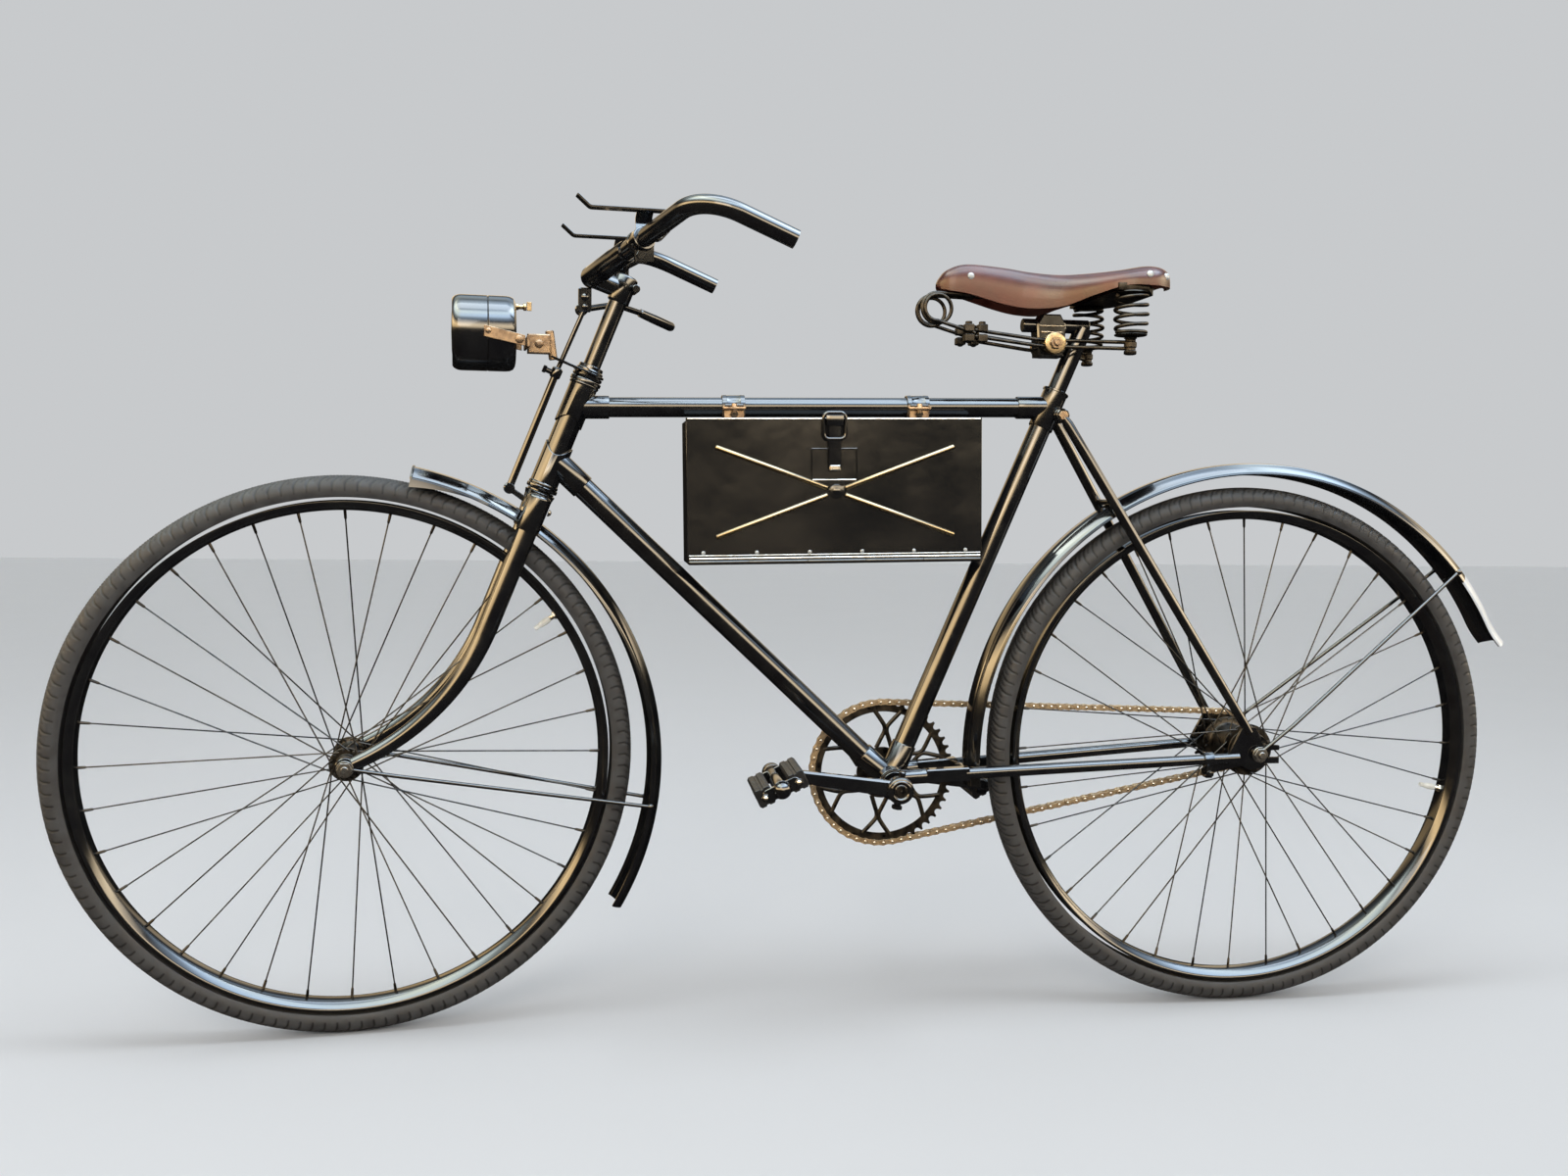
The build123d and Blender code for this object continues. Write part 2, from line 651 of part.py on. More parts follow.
def saddle_leather():
    """A shell that is open below, thinned from within."""
    outer = skin([saddle_section(*row, 0.0) for row in SADDLE_STATIONS])
    inner_rows = [(x, half, crown, skirt - 4.0) for x, half, crown, skirt in SADDLE_STATIONS[1:-1]]
    return outer - skin([saddle_section(*row, LEATHER_T) for row in inner_rows])


# Guards, half-round sheets turned through part of a circle
def guard_profile(radius, inset):
    half, depth = GUARD_HALF_W - inset, GUARD_DEPTH
    crest = radius - inset
    return [(radius - depth, half), (crest, half * 0.42), (crest, -half * 0.42), (radius - depth, -half)]


def guard_arc(centre, radius, start_angle, end_angle):
    """Guard sheet from one angle to the other, degrees up from +X, about its centre."""
    outer, inner = guard_profile(radius, 0.0), guard_profile(radius, GUARD_T)
    profile = Polygon(*outer, *reversed(inner), align=None)
    sheet = revolve(profile, Axis.Y, end_angle - start_angle)
    return Location(centre) * (Rotation(0, -end_angle, 0) * sheet)


def guard_stay(axle, y_face, centre, radius, angle):
    """Each side: an eye against the fork end, and a wire that turns in towards the guard's edge."""
    edge_r = radius - GUARD_DEPTH + 1
    rods = []
    for side in (1, -1):
        start = axle + Vector(0, side * (y_face + GUARD_STAY_R), 0)
        end = centre + mid_ring(edge_r, angle, side * (GUARD_HALF_W + GUARD_STAY_R * 0.93))
        level = Vector(end.X, start.Y, end.Z)
        knee = towards(start, level, STAY_KNEE)
        eye = disc(axle.X, axle.Z, 9.0, side * y_face, side * (y_face + 2 * GUARD_STAY_R), 12)
        hole = disc(axle.X, axle.Z, AXLE_R, side * (y_face - 3), side * (y_face + 9))
        wire = faceted_tube([towards(start, level, 6), knee, end], [GUARD_STAY_R] * 3, (0, 1, 0), 8)
        rods.append(joined(eye, wire) - hole)
    return rods


# Axles with their nuts
def axle_with_nuts(centre, nut_y, nut_t):
    half_length = nut_y + nut_t + 3.5
    parts = [disc(centre.X, centre.Z, AXLE_R, -half_length, half_length)]
    for side in (1, -1):
        nut = Plane(origin=(centre.X, side * nut_y, centre.Z), z_dir=(0, side, 0)) * RegularPolygon(9.5, 6)
        parts.append(extrude(nut, nut_t))
    return joined(*parts)


def brake_arm():
    """Coaster brake arm, from the hub's left side forward to a clip round the left chain stay."""
    start, end = chain_stay_line(1)
    clip_at = towards(end, start, 42)
    y = 50.0
    outline = [(-16, TYRE_R - 12), (-16, TYRE_R + 12), (10, TYRE_R + 14), (clip_at.X + 5, clip_at.Z - 13),
               (clip_at.X + 5, clip_at.Z - 22), (10, TYRE_R - 16)]
    arm = plate(outline, y, 4) - disc(0, TYRE_R, AXLE_R, y - 5, y + 5)
    hub_cover = disc(0, TYRE_R, 24.0, y - 5, y - 2) - disc(0, TYRE_R, AXLE_R, y - 8, y + 5)
    direction = (start - end).normalized()
    clip = rod(clip_at - direction * 6, clip_at + direction * 6, STAY_R + 2, 12)
    lug = square_rod(clip_at + Vector(0, 0, -STAY_R), clip_at + Vector(0, 0, -STAY_R - 16), 8, 12)
    bolt = disc(clip_at.X, clip_at.Z - STAY_R - 10, 3.5, y - 5, clip_at.Y + 12, 8)
    return joined(arm, hub_cover, clip, lug, bolt) - chain_stay(1)


# Fork and head parts, along the steering axis
def fork_crown():
    width = 2 * FORK_TOP_Y
    with BuildSketch() as outline:
        SlotCenterToCenter(width, 2 * CROWN_HALF_DEPTH, rotation=90)
    block = Location((0, 0, CROWN_LOW)) * extrude(outline.sketch, CROWN_TOP - 8 - CROWN_LOW)
    boss = stacked([(CROWN_LOW, CROWN_TOP, CROWN_BOSS_R), (CROWN_TOP, HEAD_LOW - CUP_H - RUN_GAP, CUP_R - 1)])
    sockets = []
    for side in (1, -1):
        top, low = head_point(CROWN_TOP - 6, 0, side * FORK_TOP_Y), head_point(BLADE_TOP, 0, side * FORK_TOP_Y)
        sockets.append(rod(low, top, BLADE_R + LUG_WALL - 0.5, 16))
    return joined(HEAD_FRAME * joined(block, boss), *sockets)


def fork_blade(side):
    """Straight down from the crown, then swept forward to the axle, tapering all the way."""
    top = head_point(BLADE_TOP, 0, side * FORK_TOP_Y)
    end_y = FORK_END_Y + FORK_END_T / 2
    corner_s = FORK_RAKE / tan(radians(BLADE_SWEEP))
    corner = head_point(corner_s, 0, side * (FORK_TOP_Y + (end_y - FORK_TOP_Y) * 0.67))
    axle = FRONT_AXLE + Vector(0, side * end_y, 0)
    points = rounded([top, corner, axle], [BLADE_BEND_R], BLADE_STEPS)
    radii = [BLADE_R]
    for k in range(BLADE_STEPS + 1):
        radii.append(BLADE_MID_R + (BLADE_LOW_R - BLADE_MID_R) * k / BLADE_STEPS)
    blade = faceted_tube(points, [*radii, BLADE_LOW_R], (0, 1, 0), 14)
    tip = disc(axle.X, axle.Z, 12.5, side * FORK_END_Y, side * (FORK_END_Y + FORK_END_T), 20)
    hub_side = disc(axle.X, axle.Z, 17.0, side * (FORK_END_Y - 12), side * FORK_END_Y, 16)
    outer_y = FORK_END_Y + FORK_END_T
    outer_side = disc(axle.X, axle.Z, 23.0, side * outer_y, side * (outer_y + 14), 16)
    hole = disc(axle.X, axle.Z, AXLE_R, side * (FORK_END_Y - 2), side * (FORK_END_Y + FORK_END_T + 2))
    return joined(blade, tip) - hub_side - outer_side - hole


def steerer():
    """Steerer tube with the upper cone, the lamp plate's seat and the lock nut."""
    low = HEAD_LOW - CUP_H - RUN_GAP
    cone = HEAD_TOP + CUP_H + RUN_GAP
    plate_low = cone + CONE_H
    nut = plate_low + LAMP_PLATE_T
    rows = [(cone, plate_low, CUP_R - 1), (plate_low, nut, STEERER_R + 1.5),
            (nut, nut + 3, 17.5), (nut + 3, nut + LOCK_NUT_H, 16.0)]
    return joined(rod(head_point(low), head_point(cone), STEERER_R), HEAD_FRAME * stacked(rows))


def handlebar():
    """Swept-back bar: round bare ends, and bends cut into short steps."""
    right_end, right_corner = [Vector(p.X, -p.Y, p.Z) for p in (BAR_END, BAR_CORNER)]
    corners = [BAR_END, BAR_CORNER, BAR_MIDDLE, right_corner, right_end]
    points = rounded(corners, [BAR_BEND_R, BAR_APEX_R, BAR_BEND_R], 4)
    bends = points[1:-1]
    bar = faceted_tube(bends, [BAR_R] * len(bends), (0, 0, 1), 14)
    for end, bend_start in ((points[0], points[1]), (points[-1], points[-2])):
        bar = bar - rod(end, bend_start, 2 * BAR_R)
        bar = bar + rod(end, bend_start, BAR_R) - rod(end, towards(end, bend_start, 30), BAR_R - 2)
    return bar


def bar_point(y):
    """The bar's centre line on its straight forward part."""
    to_corner = (BAR_CORNER - BAR_MIDDLE) * (abs(y) / BAR_CORNER.Y)
    return Vector(BAR_MIDDLE.X + to_corner.X, y, BAR_MIDDLE.Z + to_corner.Z)


def stem(bar):
    """Stem with the forward lug and the sleeve that grips the bar's middle."""
    low = LAMP_PLATE_LOW + LAMP_PLATE_T + LOCK_NUT_H
    post = rod(head_point(low), head_point(STEM_TOP), STEM_R, 20)
    collar = rod(head_point(STEM_TOP - 34), head_point(STEM_TOP), STEM_R + 3, 20)
    arm = rod(head_point(STEM_TOP - 18), BAR_MIDDLE, 12.0, 16)
    bolt = rod(head_point(STEM_TOP - 12, -16, -16), head_point(STEM_TOP - 12, -16, 16), 4.0, 8)
    return joined(post, collar, arm, sleeves(), bolt) - bar


def sleeves():
    """The two halves of the stem's sleeve, met at the middle of the bar."""
    halves = []
    for side in (1, -1):
        inner = BAR_MIDDLE - Vector(0, side * 3, 0)
        halves.append(rod(inner, bar_point(side * SLEEVE_Y), BAR_R + 3, 16))
    return joined(*halves)


def strip(points, thickness, y, width):
    """A flat strip bent along points in x and z, its thickness below them."""
    lower = [(x, z - thickness) for x, z in points]
    return plate([*points, *reversed(lower)], y, width)


def bar_rest(side, bar):
    """Flat fore-and-aft rest on an upright strip that a band clamps to the bar."""
    y = side * REST_Y
    at = bar_point(y)
    along = (at - BAR_MIDDLE).normalized()
    band = rod(at - along * 9, at + along * 9, BAR_R + 2.5, 14)
    top = REST_Z - REST_T
    upright = plate([(at.X - 13, at.Z), (at.X + 5, at.Z), (at.X + 5, top), (at.X - 13, top)], y, REST_T)
    line = [(BAR_MIDDLE.X + ahead, REST_Z + up) for ahead, up in ((27, 13), (12, 0), (-103, 0), (-114, 12))]
    rest = strip(line, REST_T, y, REST_W)
    ears = plate([(at.X - 9, at.Z), (at.X + 9, at.Z), (at.X + 7, at.Z - 26), (at.X - 7, at.Z - 26)], y, 8)
    return joined(band, upright, rest, ears) - bar


def brake_lever():
    """Hand lever under the right grip, pivoted below the bar's middle."""
    pivot, knee = BAR_MIDDLE + Vector(11, -12, -39), BAR_MIDDLE + Vector(-39, -75, -25)
    bend, end = BAR_MIDDLE + Vector(-79, -120, -31), BAR_MIDDLE + Vector(-128, -160, -45)
    wire = faceted_tube([pivot, knee, bend], [4.0] * 3, (0, 0, 1), 8)
    grip = rod(towards(bend, knee, 4), end, 6.5, 10)
    boss = disc(pivot.X, pivot.Z, 8.0, -18, -6, 12)
    return joined(wire, grip, boss)


def brake_rod():
    """Front brake pull: hanger under the bar, thin rod, collar, thick rod and the crank at the crown."""
    top, collar = BAR_MIDDLE + Vector(8, 0, -38), BAR_MIDDLE + Vector(44, 0, -121)
    low = head_point(CROWN_TOP) + Vector(37.8, 0, 7.4)
    hanger = Solid.make_box(16, 10, 30, Plane(origin=BAR_MIDDLE + Vector(0, -5, -43)))
    parts = [
        hanger, rod(top, collar, 3.0, 8), rod(towards(collar, top, 6), towards(collar, low, 6), 7.0, 12),
        rod(collar, low, 5.0, 10), disc(low.X, low.Z, 7.0, -7, 7, 12),
    ]
    parts.append(square_rod(low, head_point(CROWN_TOP - 14), 7, 9))
    boss = HEAD_FRAME * stacked([(CROWN_LOW - 9, CROWN_TOP + 9, CROWN_BOSS_R)])
    return joined(*parts) - boss - sleeves()


# Headlamp
def lamp_shell():
    """Drum with rolled rims, open in front."""
    front, rear, r = LAMP_X + LAMP_L, LAMP_X, LAMP_R
    drum = faceted_turn([(rear, r - 7), (rear + 2, r - 2.5), (rear + 6, r), (front - 3, r), (front, r - 2)])
    dish = [(front - 44, 9), (front - 34, r - 22), (front - 16, r - 10), (front - 5, r - 6), (front + 1, r - 6)]
    reflector = faceted_turn(dish)
    return Location((0, 0, LAMP_Z)) * (drum - reflector)


def lamp_lens():
    front, r = LAMP_X + LAMP_L, LAMP_R
    return Location((0, 0, LAMP_Z)) * faceted_turn([(front - 4.5, r - 6), (front - 1, r - 6), (front + 1, r - 20)])


def lamp_bulb():
    front = LAMP_X + LAMP_L
    stations = [(front - 44, 6), (front - 34, 6), (front - 30, 8), (front - 24, 6), (front - 22, 2.5)]
    return Location((0, 0, LAMP_Z)) * faceted_turn(stations, 10)


def lamp_bracket():
    """Yoke round the drum, pivot block, post and the plate that the head lock nut clamps."""
    x, z, low = LAMP_X, LAMP_Z, LAMP_PLATE_LOW
    parts = []
    for side in (1, -1):
        y = side * (LAMP_R + 1.8)
        parts.append(plate([(x + 39, z + 7), (x + 39, z - 7), (x - 13, z - 17), (x - 13, z - 4)], y, 3))
    parts.append(Solid.make_box(3.2, 2 * LAMP_R + 6.6, 13, Plane(origin=(x - 15.4, -LAMP_R - 3.3, z - 17))))
    parts.append(Solid.make_box(28, 20, 24, Plane(origin=(x - 42, LAMP_POST_Y - 10, z - 24))))
    post_top, post_low = Vector(x - 41, LAMP_POST_Y, z + 5), Vector(x - 46, LAMP_POST_Y, z - 31)
    parts.append(rod(post_low, post_top, 5.0, 10))
    ring = rod(head_point(low), head_point(low + LAMP_PLATE_T), CUP_R, 24)
    tongue = HEAD_FRAME * Solid.make_box(52, 14, LAMP_PLATE_T, Plane(origin=(0, LAMP_POST_Y - 7, low)))
    hole = HEAD_FRAME * stacked([(low - 5, low + 8, STEERER_R + 1.5)])
    return joined(*parts, ring, tongue) - hole


# Drive
def chain_geometry():
    """Centres, pitch radii and the tangent angles of the chain loop, in x and z."""
    big = PITCH / (2 * sin(pi / CHAINWHEEL_TEETH))
    small = PITCH / (2 * sin(pi / SPROCKET_TEETH))
    dx, dz = -BRACKET_X, TYRE_R - BRACKET_Z
    base = atan2(dz, dx)
    open_angle = acos((big - small) / hypot(dx, dz))
    return big, small, base - open_angle, base + open_angle


def around(centre, radius, angle):
    return centre[0] + radius * cos(angle), centre[1] + radius * sin(angle)


def chain_loop(offset):
    """The loop's outline, moved outwards by the offset."""
    big, small, upper, lower = chain_geometry()
    wheel, cog = (BRACKET_X, BRACKET_Z), (0.0, TYRE_R)
    big, small = big + offset, small + offset
    middle_big = (upper + lower) / 2 + pi
    middle_small = (upper + lower) / 2
    with BuildSketch() as loop:
        with BuildLine():
            ThreePointArc(around(wheel, big, upper), around(wheel, big, middle_big), around(wheel, big, lower))
            Line(around(wheel, big, lower), around(cog, small, lower))
            ThreePointArc(around(cog, small, lower), around(cog, small, middle_small), around(cog, small, upper))
            Line(around(cog, small, upper), around(wheel, big, upper))
        make_face()
    return loop.sketch


def pin_places():
    """Where each chain pin sits: its point and the direction of travel there."""
    big, small, upper, lower = chain_geometry()
    wheel, cog = (BRACKET_X, BRACKET_Z), (0.0, TYRE_R)
    run = hypot(around(wheel, big, upper)[0] - around(cog, small, upper)[0],
                around(wheel, big, upper)[1] - around(cog, small, upper)[1])
    wrap_big, wrap_small = 2 * pi - (lower - upper), lower - upper
    total = 2 * run + big * wrap_big + small * wrap_small
    count = 2 * round(total / PITCH / 2)
    places = []
    for k in range(count):
        s = total * k / count
        if s < run:
            a, b = around(cog, small, upper), around(wheel, big, upper)
            share = s / run
            places.append((a[0] + (b[0] - a[0]) * share, a[1] + (b[1] - a[1]) * share))
            continue
        s -= run
        if s < big * wrap_big:
            places.append(around(wheel, big, upper - s / big))
            continue
        s -= big * wrap_big
        if s < run:
            a, b = around(wheel, big, lower), around(cog, small, lower)
            share = s / run
            places.append((a[0] + (b[0] - a[0]) * share, a[1] + (b[1] - a[1]) * share))
            continue
        s -= run
        places.append(around(cog, small, lower - s / small))
    return places


def chain():
    """Two bands of inner plates with the outer plates raised on them, joined by rollers on the runs."""
    half = PLATE_H / 2
    loop = chain_loop(half) - chain_loop(-half)
    places = pin_places()
    bands = []
    for side in (1, -1):
        inner_y = -CHAIN_LINE + side * PLATE_GAP / 2
        plane = side_plane(inner_y)
        amount = -side * PLATE_T
        band = extrude(plane * loop, amount)
        raised = []
        outer_plane = side_plane(inner_y + side * PLATE_T)
        for k in range(0, len(places), 2):
            a, b = places[k], places[(k + 1) % len(places)]
            raised.append(extrude(outer_plane * link_outline(a, b, half), amount))
        bands.append(joined(band, *raised))
    rollers = []
    for x, z in places[::2]:
        if SPROCKET_CLEAR < x < BRACKET_X - SPROCKET_CLEAR:
            ends = (-CHAIN_LINE - PLATE_GAP / 2, -CHAIN_LINE + PLATE_GAP / 2)
            rollers.append(disc(x, z, ROLLER_R * 0.9, *ends, 4))
    return joined(*bands, *rollers)


def link_outline(a, b, half):
    """Six-sided outline of one link plate from pin to pin."""
    angle = atan2(b[1] - a[1], b[0] - a[0])
    length = hypot(b[0] - a[0], b[1] - a[1])
    shape = [(-half, 0), (-half * 0.3, half), (length + half * 0.3, half), (length + half, 0),
             (length + half * 0.3, -half), (-half * 0.3, -half)]
    points = [(a[0] + u * cos(angle) - v * sin(angle), a[1] + u * sin(angle) + v * cos(angle)) for u, v in shape]
    return Polygon(*points, align=None)


def chainwheel():
    """Toothed ring on six waisted spokes, each two legs that close at a waist and open again."""
    wheel = Polygon(*toothed_outline(CHAINWHEEL_TEETH), align=None) - RegularPolygon(WHEEL_RING_R, 60)
    wheel += RegularPolygon(WHEEL_HUB_R, 30) - Circle(SPINDLE_R)
    for k in range(6):
        turn = radians(60 * k + WHEEL_TURN)
        for sign in (1, -1):
            legs = (((WHEEL_HUB_R - 1, 11), (WAIST_R, 1.2)), ((WAIST_R, 1.2), (WHEEL_RING_R + 1, 19)))
            for (r1, w1), (r2, w2) in legs:
                a = (r1 * cos(turn) - sign * w1 * sin(turn), r1 * sin(turn) + sign * w1 * cos(turn))
                b = (r2 * cos(turn) - sign * w2 * sin(turn), r2 * sin(turn) + sign * w2 * cos(turn))
                wheel += leg(a, b, LEG_W)
    body = extrude(side_plane(0) * wheel, TOOTH_T / 2, both=True)
    return Location((BRACKET_X, -CHAIN_LINE, BRACKET_Z)) * (Rotation(0, -pin_phase(), 0) * body)


def pin_phase():
    """Turn of the chainwheel that sets its tooth gaps on the chain's pins, degrees."""
    places = pin_places()
    front = max(places, key=lambda p: p[0])
    angle = degrees(atan2(front[1] - BRACKET_Z, front[0] - BRACKET_X))
    return angle % (360 / CHAINWHEEL_TEETH)


def leg(a, b, width):
    length = hypot(b[0] - a[0], b[1] - a[1])
    u, v = (b[0] - a[0]) / length, (b[1] - a[1]) / length
    h = width / 2
    return Polygon((a[0] - v * h, a[1] + u * h), (b[0] - v * h, b[1] + u * h),
                   (b[0] + v * h, b[1] - u * h), (a[0] + v * h, a[1] - u * h), align=None)


def crank(side):
    """Flat-sided arm from the cottered boss to the pedal eye. The two arms point opposite ways."""
    angle = radians(CRANK_ANGLE if side == 1 else CRANK_ANGLE + 180)
    eye = (BRACKET_X + CRANK_LENGTH * cos(angle), BRACKET_Z + CRANK_LENGTH * sin(angle))
    y1, y2 = side * CRANK_INNER_Y, side * (CRANK_INNER_Y + CRANK_T)
    boss = disc(BRACKET_X, BRACKET_Z, CRANK_BOSS_R, y1, side * (CRANK_INNER_Y + CRANK_T + 4), 20)
    end = disc(eye[0], eye[1], CRANK_EYE_R, y1, y2, 16)
    outline = []
    for sign in (1, -1):
        near = (BRACKET_X - sign * sin(angle) * CRANK_WIDE / 2, BRACKET_Z + sign * cos(angle) * CRANK_WIDE / 2)
        far = (eye[0] - sign * sin(angle) * CRANK_SLIM / 2, eye[1] + sign * cos(angle) * CRANK_SLIM / 2)
        outline += [near, far] if sign == 1 else [far, near]
    arm = plate(outline, (y1 + y2) / 2, CRANK_T - 1)
    bore = disc(BRACKET_X, BRACKET_Z, SPINDLE_R, side * 40, side * 80)
    pedal_hole = disc(eye[0], eye[1], PEDAL_AXLE_R + PIN_GAP, y1 - side * 3, y2 + side * 3)
    return joined(boss, end, arm) - bore - pedal_hole


def pedal_centre(side):
    angle = radians(CRANK_ANGLE if side == 1 else CRANK_ANGLE + 180)
    return Vector(BRACKET_X + CRANK_LENGTH * cos(angle), 0, BRACKET_Z + CRANK_LENGTH * sin(angle))


def pedal_frame(side):
    """Spindle, end plates and dust cap."""
    c = pedal_centre(side)
    inner, outer = CRANK_INNER_Y + CRANK_T + 6, CRANK_INNER_Y + CRANK_T + 6 + PEDAL_L
    spread = PEDAL_SPREAD / 2 + 6
    parts = [disc(c.X, c.Z, PEDAL_AXLE_R, side * (CRANK_INNER_Y + 1), side * (inner + 2)),
             disc(c.X, c.Z, 9.0, side * inner, side * outer, 12),
             disc(c.X, c.Z, 9.5, side * outer, side * (outer + 7), 12)]
    outline = cut_corners(spread, 11, 5, 4)
    for y in (inner + 1.5, outer - 1.5):
        parts.append(Location((c.X, 0, c.Z)) * (Rotation(0, PEDAL_TILT, 0) * plate(outline, side * y, 3)))
    return joined(*parts)


def cut_corners(half_w, half_h, cut_w, cut_h, x=0.0):
    """Outline of a rectangle with its corners cut off, as points in x and z."""
    return [(x - half_w, -half_h + cut_h), (x - half_w + cut_w, -half_h),
            (x + half_w - cut_w, -half_h), (x + half_w, -half_h + cut_h),
            (x + half_w, half_h - cut_h), (x + half_w - cut_w, half_h),
            (x - half_w + cut_w, half_h), (x - half_w, half_h - cut_h)]


def pedal_blocks(side):
    c = pedal_centre(side)
    inner = CRANK_INNER_Y + CRANK_T + 6 + 3
    length = PEDAL_L - 6
    blocks = []
    for ahead in (1, -1):
        outline = cut_corners(PEDAL_BLOCK_W / 2, PEDAL_BLOCK_H / 2, 3, 3, ahead * PEDAL_SPREAD / 2)
        shape = plate(outline, side * (inner + length / 2), length)
        block = Location((c.X, 0, c.Z)) * (Rotation(0, PEDAL_TILT, 0) * shape)
        blocks.append(block - disc(c.X, c.Z, 9.0, side * (inner - 5), side * (inner + length + 5), 12))
    return blocks


# Case hung under the top tube, in its own frame: x along the tube, z up from the tube's centre
TUBE_DIR = (TUBE_HEAD - TUBE_SEAT).normalized()
TUBE_UP = TUBE_DIR.cross(Vector(0, 1, 0))
CASE_ORIGIN = towards(TUBE_SEAT, TUBE_HEAD, CASE_BACK + CASE_L / 2)
CASE_FRAME = Location(Plane(origin=CASE_ORIGIN, x_dir=TUBE_DIR, z_dir=TUBE_UP))


def case_height():
    """The wanted height, or as much as the down tube leaves under the case's front corner."""
    corner = CASE_ORIGIN + TUBE_DIR * (CASE_L / 2) - TUBE_UP * CASE_TOP_DROP
    down = (DOWN_HEAD - BRACKET).normalized()
    off_tube = Vector(-down.Z, 0, down.X)
    room = ((corner - BRACKET).dot(off_tube) - DOWN_TUBE_R - CASE_CLEAR) / TUBE_UP.dot(off_tube)
    return min(CASE_TALL, room)


CASE_H = case_height()


def case_box(x1, x2, y1, y2, z1, z2):
    return Solid.make_box(x2 - x1, y2 - y1, z2 - z1, Plane(origin=(x1, y1, z1)))


def knuckles(first):
    """Every other one of five hinge knuckles along the bottom edge."""
    y, z = hinge_line()
    return [rod(Vector(a, y, z), Vector(b, y, z), HINGE_R) for a, b in hinge_spans(first, 0.3)]


def hinge_line():
    return CASE_T / 2 + HINGE_R - 1.0, -CASE_TOP_DROP - CASE_H + HINGE_R


def hinge_spans(first, trim):
    """Start and end of every other fifth of the hinge line."""
    fifth = CASE_L / 5
    return [(-CASE_L / 2 + fifth * k + trim, -CASE_L / 2 + fifth * (k + 1) - trim) for k in range(first, 5, 2)]


def case_body():
    """Thin-walled box, open on the rider's left, with its share of the hinge."""
    half_l, half_t, wall = CASE_L / 2, CASE_T / 2, CASE_WALL
    top, low = -CASE_TOP_DROP, -CASE_TOP_DROP - CASE_H
    shell = case_box(-half_l, half_l, -half_t, half_t, low, top)
    inside = case_box(-half_l + wall, half_l - wall, -half_t + wall, half_t + 1, low + wall, top - wall)
    y, z = hinge_line()
    relief = [rod(Vector(a, y, z), Vector(b, y, z), HINGE_R + 0.5) for a, b in hinge_spans(1, 0.0)]
    body = (shell - inside).cut(*relief)
    leaves = [case_box(a, b, half_t - 1, y, low, low + wall) for a, b in hinge_spans(0, 0.3)]
    return CASE_FRAME * joined(body, *knuckles(0), *leaves)


def case_door():
    """Door panel hinged along the bottom, with a folded rim, pressed ribs in an X and a pocket for the latch."""
    half_l, half_t = CASE_L / 2, CASE_T / 2
    top, low = -CASE_TOP_DROP, -CASE_TOP_DROP - CASE_H
    y, z = hinge_line()
    y1, y2 = half_t + DOOR_GAP, half_t + DOOR_GAP + DOOR_T
    rim_out, rim_in = half_l + DOOR_GAP + DOOR_T, half_l + DOOR_GAP
    outer = case_box(-rim_out, rim_out, y2 - RIM_DEPTH, y2, z + HINGE_R + 1, top + DOOR_GAP + DOOR_T)
    hollow = case_box(-rim_in, rim_in, y2 - RIM_DEPTH - 1, y1, z + HINGE_R, top + DOOR_GAP)
    pocket = case_box(LATCH_X - POCKET_HALF_W, LATCH_X + POCKET_HALF_W, y2 - POCKET_DEPTH, y2 + 1,
                      top - POCKET_TOP - POCKET_H, top - POCKET_TOP)
    panel = outer - hollow - pocket
    leaves = [case_box(a, b, y1, y2, z, z + HINGE_R + 1) for a, b in hinge_spans(1, 0.3)]
    centre = Vector(0, y2, (top + low) / 2)
    ribs = []
    for sx in (1, -1):
        for sz in (1, -1):
            reach = Vector(sx * CASE_L * RIB_SHARE_X, 0, sz * CASE_H * RIB_SHARE_Z)
            ribs.append(rod(centre + reach * 0.08, centre + reach, RIB_W / 2, 8))
    boss = disc(0, centre.Z, 9.0, y1 + 0.2, y2 + 3, 12)
    behind = case_box(-half_l, half_l, y1 - 20, y1, low, top)
    return CASE_FRAME * (joined(panel, *leaves, *knuckles(1), *ribs, boss) - behind)


def case_latch():
    """Hinged buckle and tongue at the middle of the door's top edge."""
    y2 = CASE_T / 2 + DOOR_GAP + DOOR_T
    top = -CASE_TOP_DROP + DOOR_GAP + DOOR_T
    base = case_box(-14, 14, y2, y2 + 3, top - 22, top - 1)
    loop = case_box(-11, 11, y2 + 3, y2 + 8, top - 10, top + 3)
    tongue = case_box(-8, 8, y2 + 3, y2 + 6, top - 62, top - 10)
    return CASE_FRAME * (Location((LATCH_X, 0, 0)) * joined(base, loop, tongue))


def case_clamp(x):
    """Band over the top tube with a bolted ear on each side and a foot on the case."""
    half = CLAMP_HALF_L
    band = rod(Vector(x - half, 0, 0), Vector(x + half, 0, 0), TOP_TUBE_R + 2.5, 16)
    ears = case_box(x - half, x + half, -22, 22, -3.5, -0.5)
    foot = case_box(x - half + 2, x + half - 2, -16, 16, -CASE_TOP_DROP, -3)
    bolts = [rod(Vector(x, side * 18, -8), Vector(x, side * 18, 4), 3.5, 8) for side in (1, -1)]
    tube = rod(Vector(x - half - 5, 0, 0), Vector(x + half + 5, 0, 0), TOP_TUBE_R)
    return CASE_FRAME * (joined(band, ears, foot, *bolts) - tube)


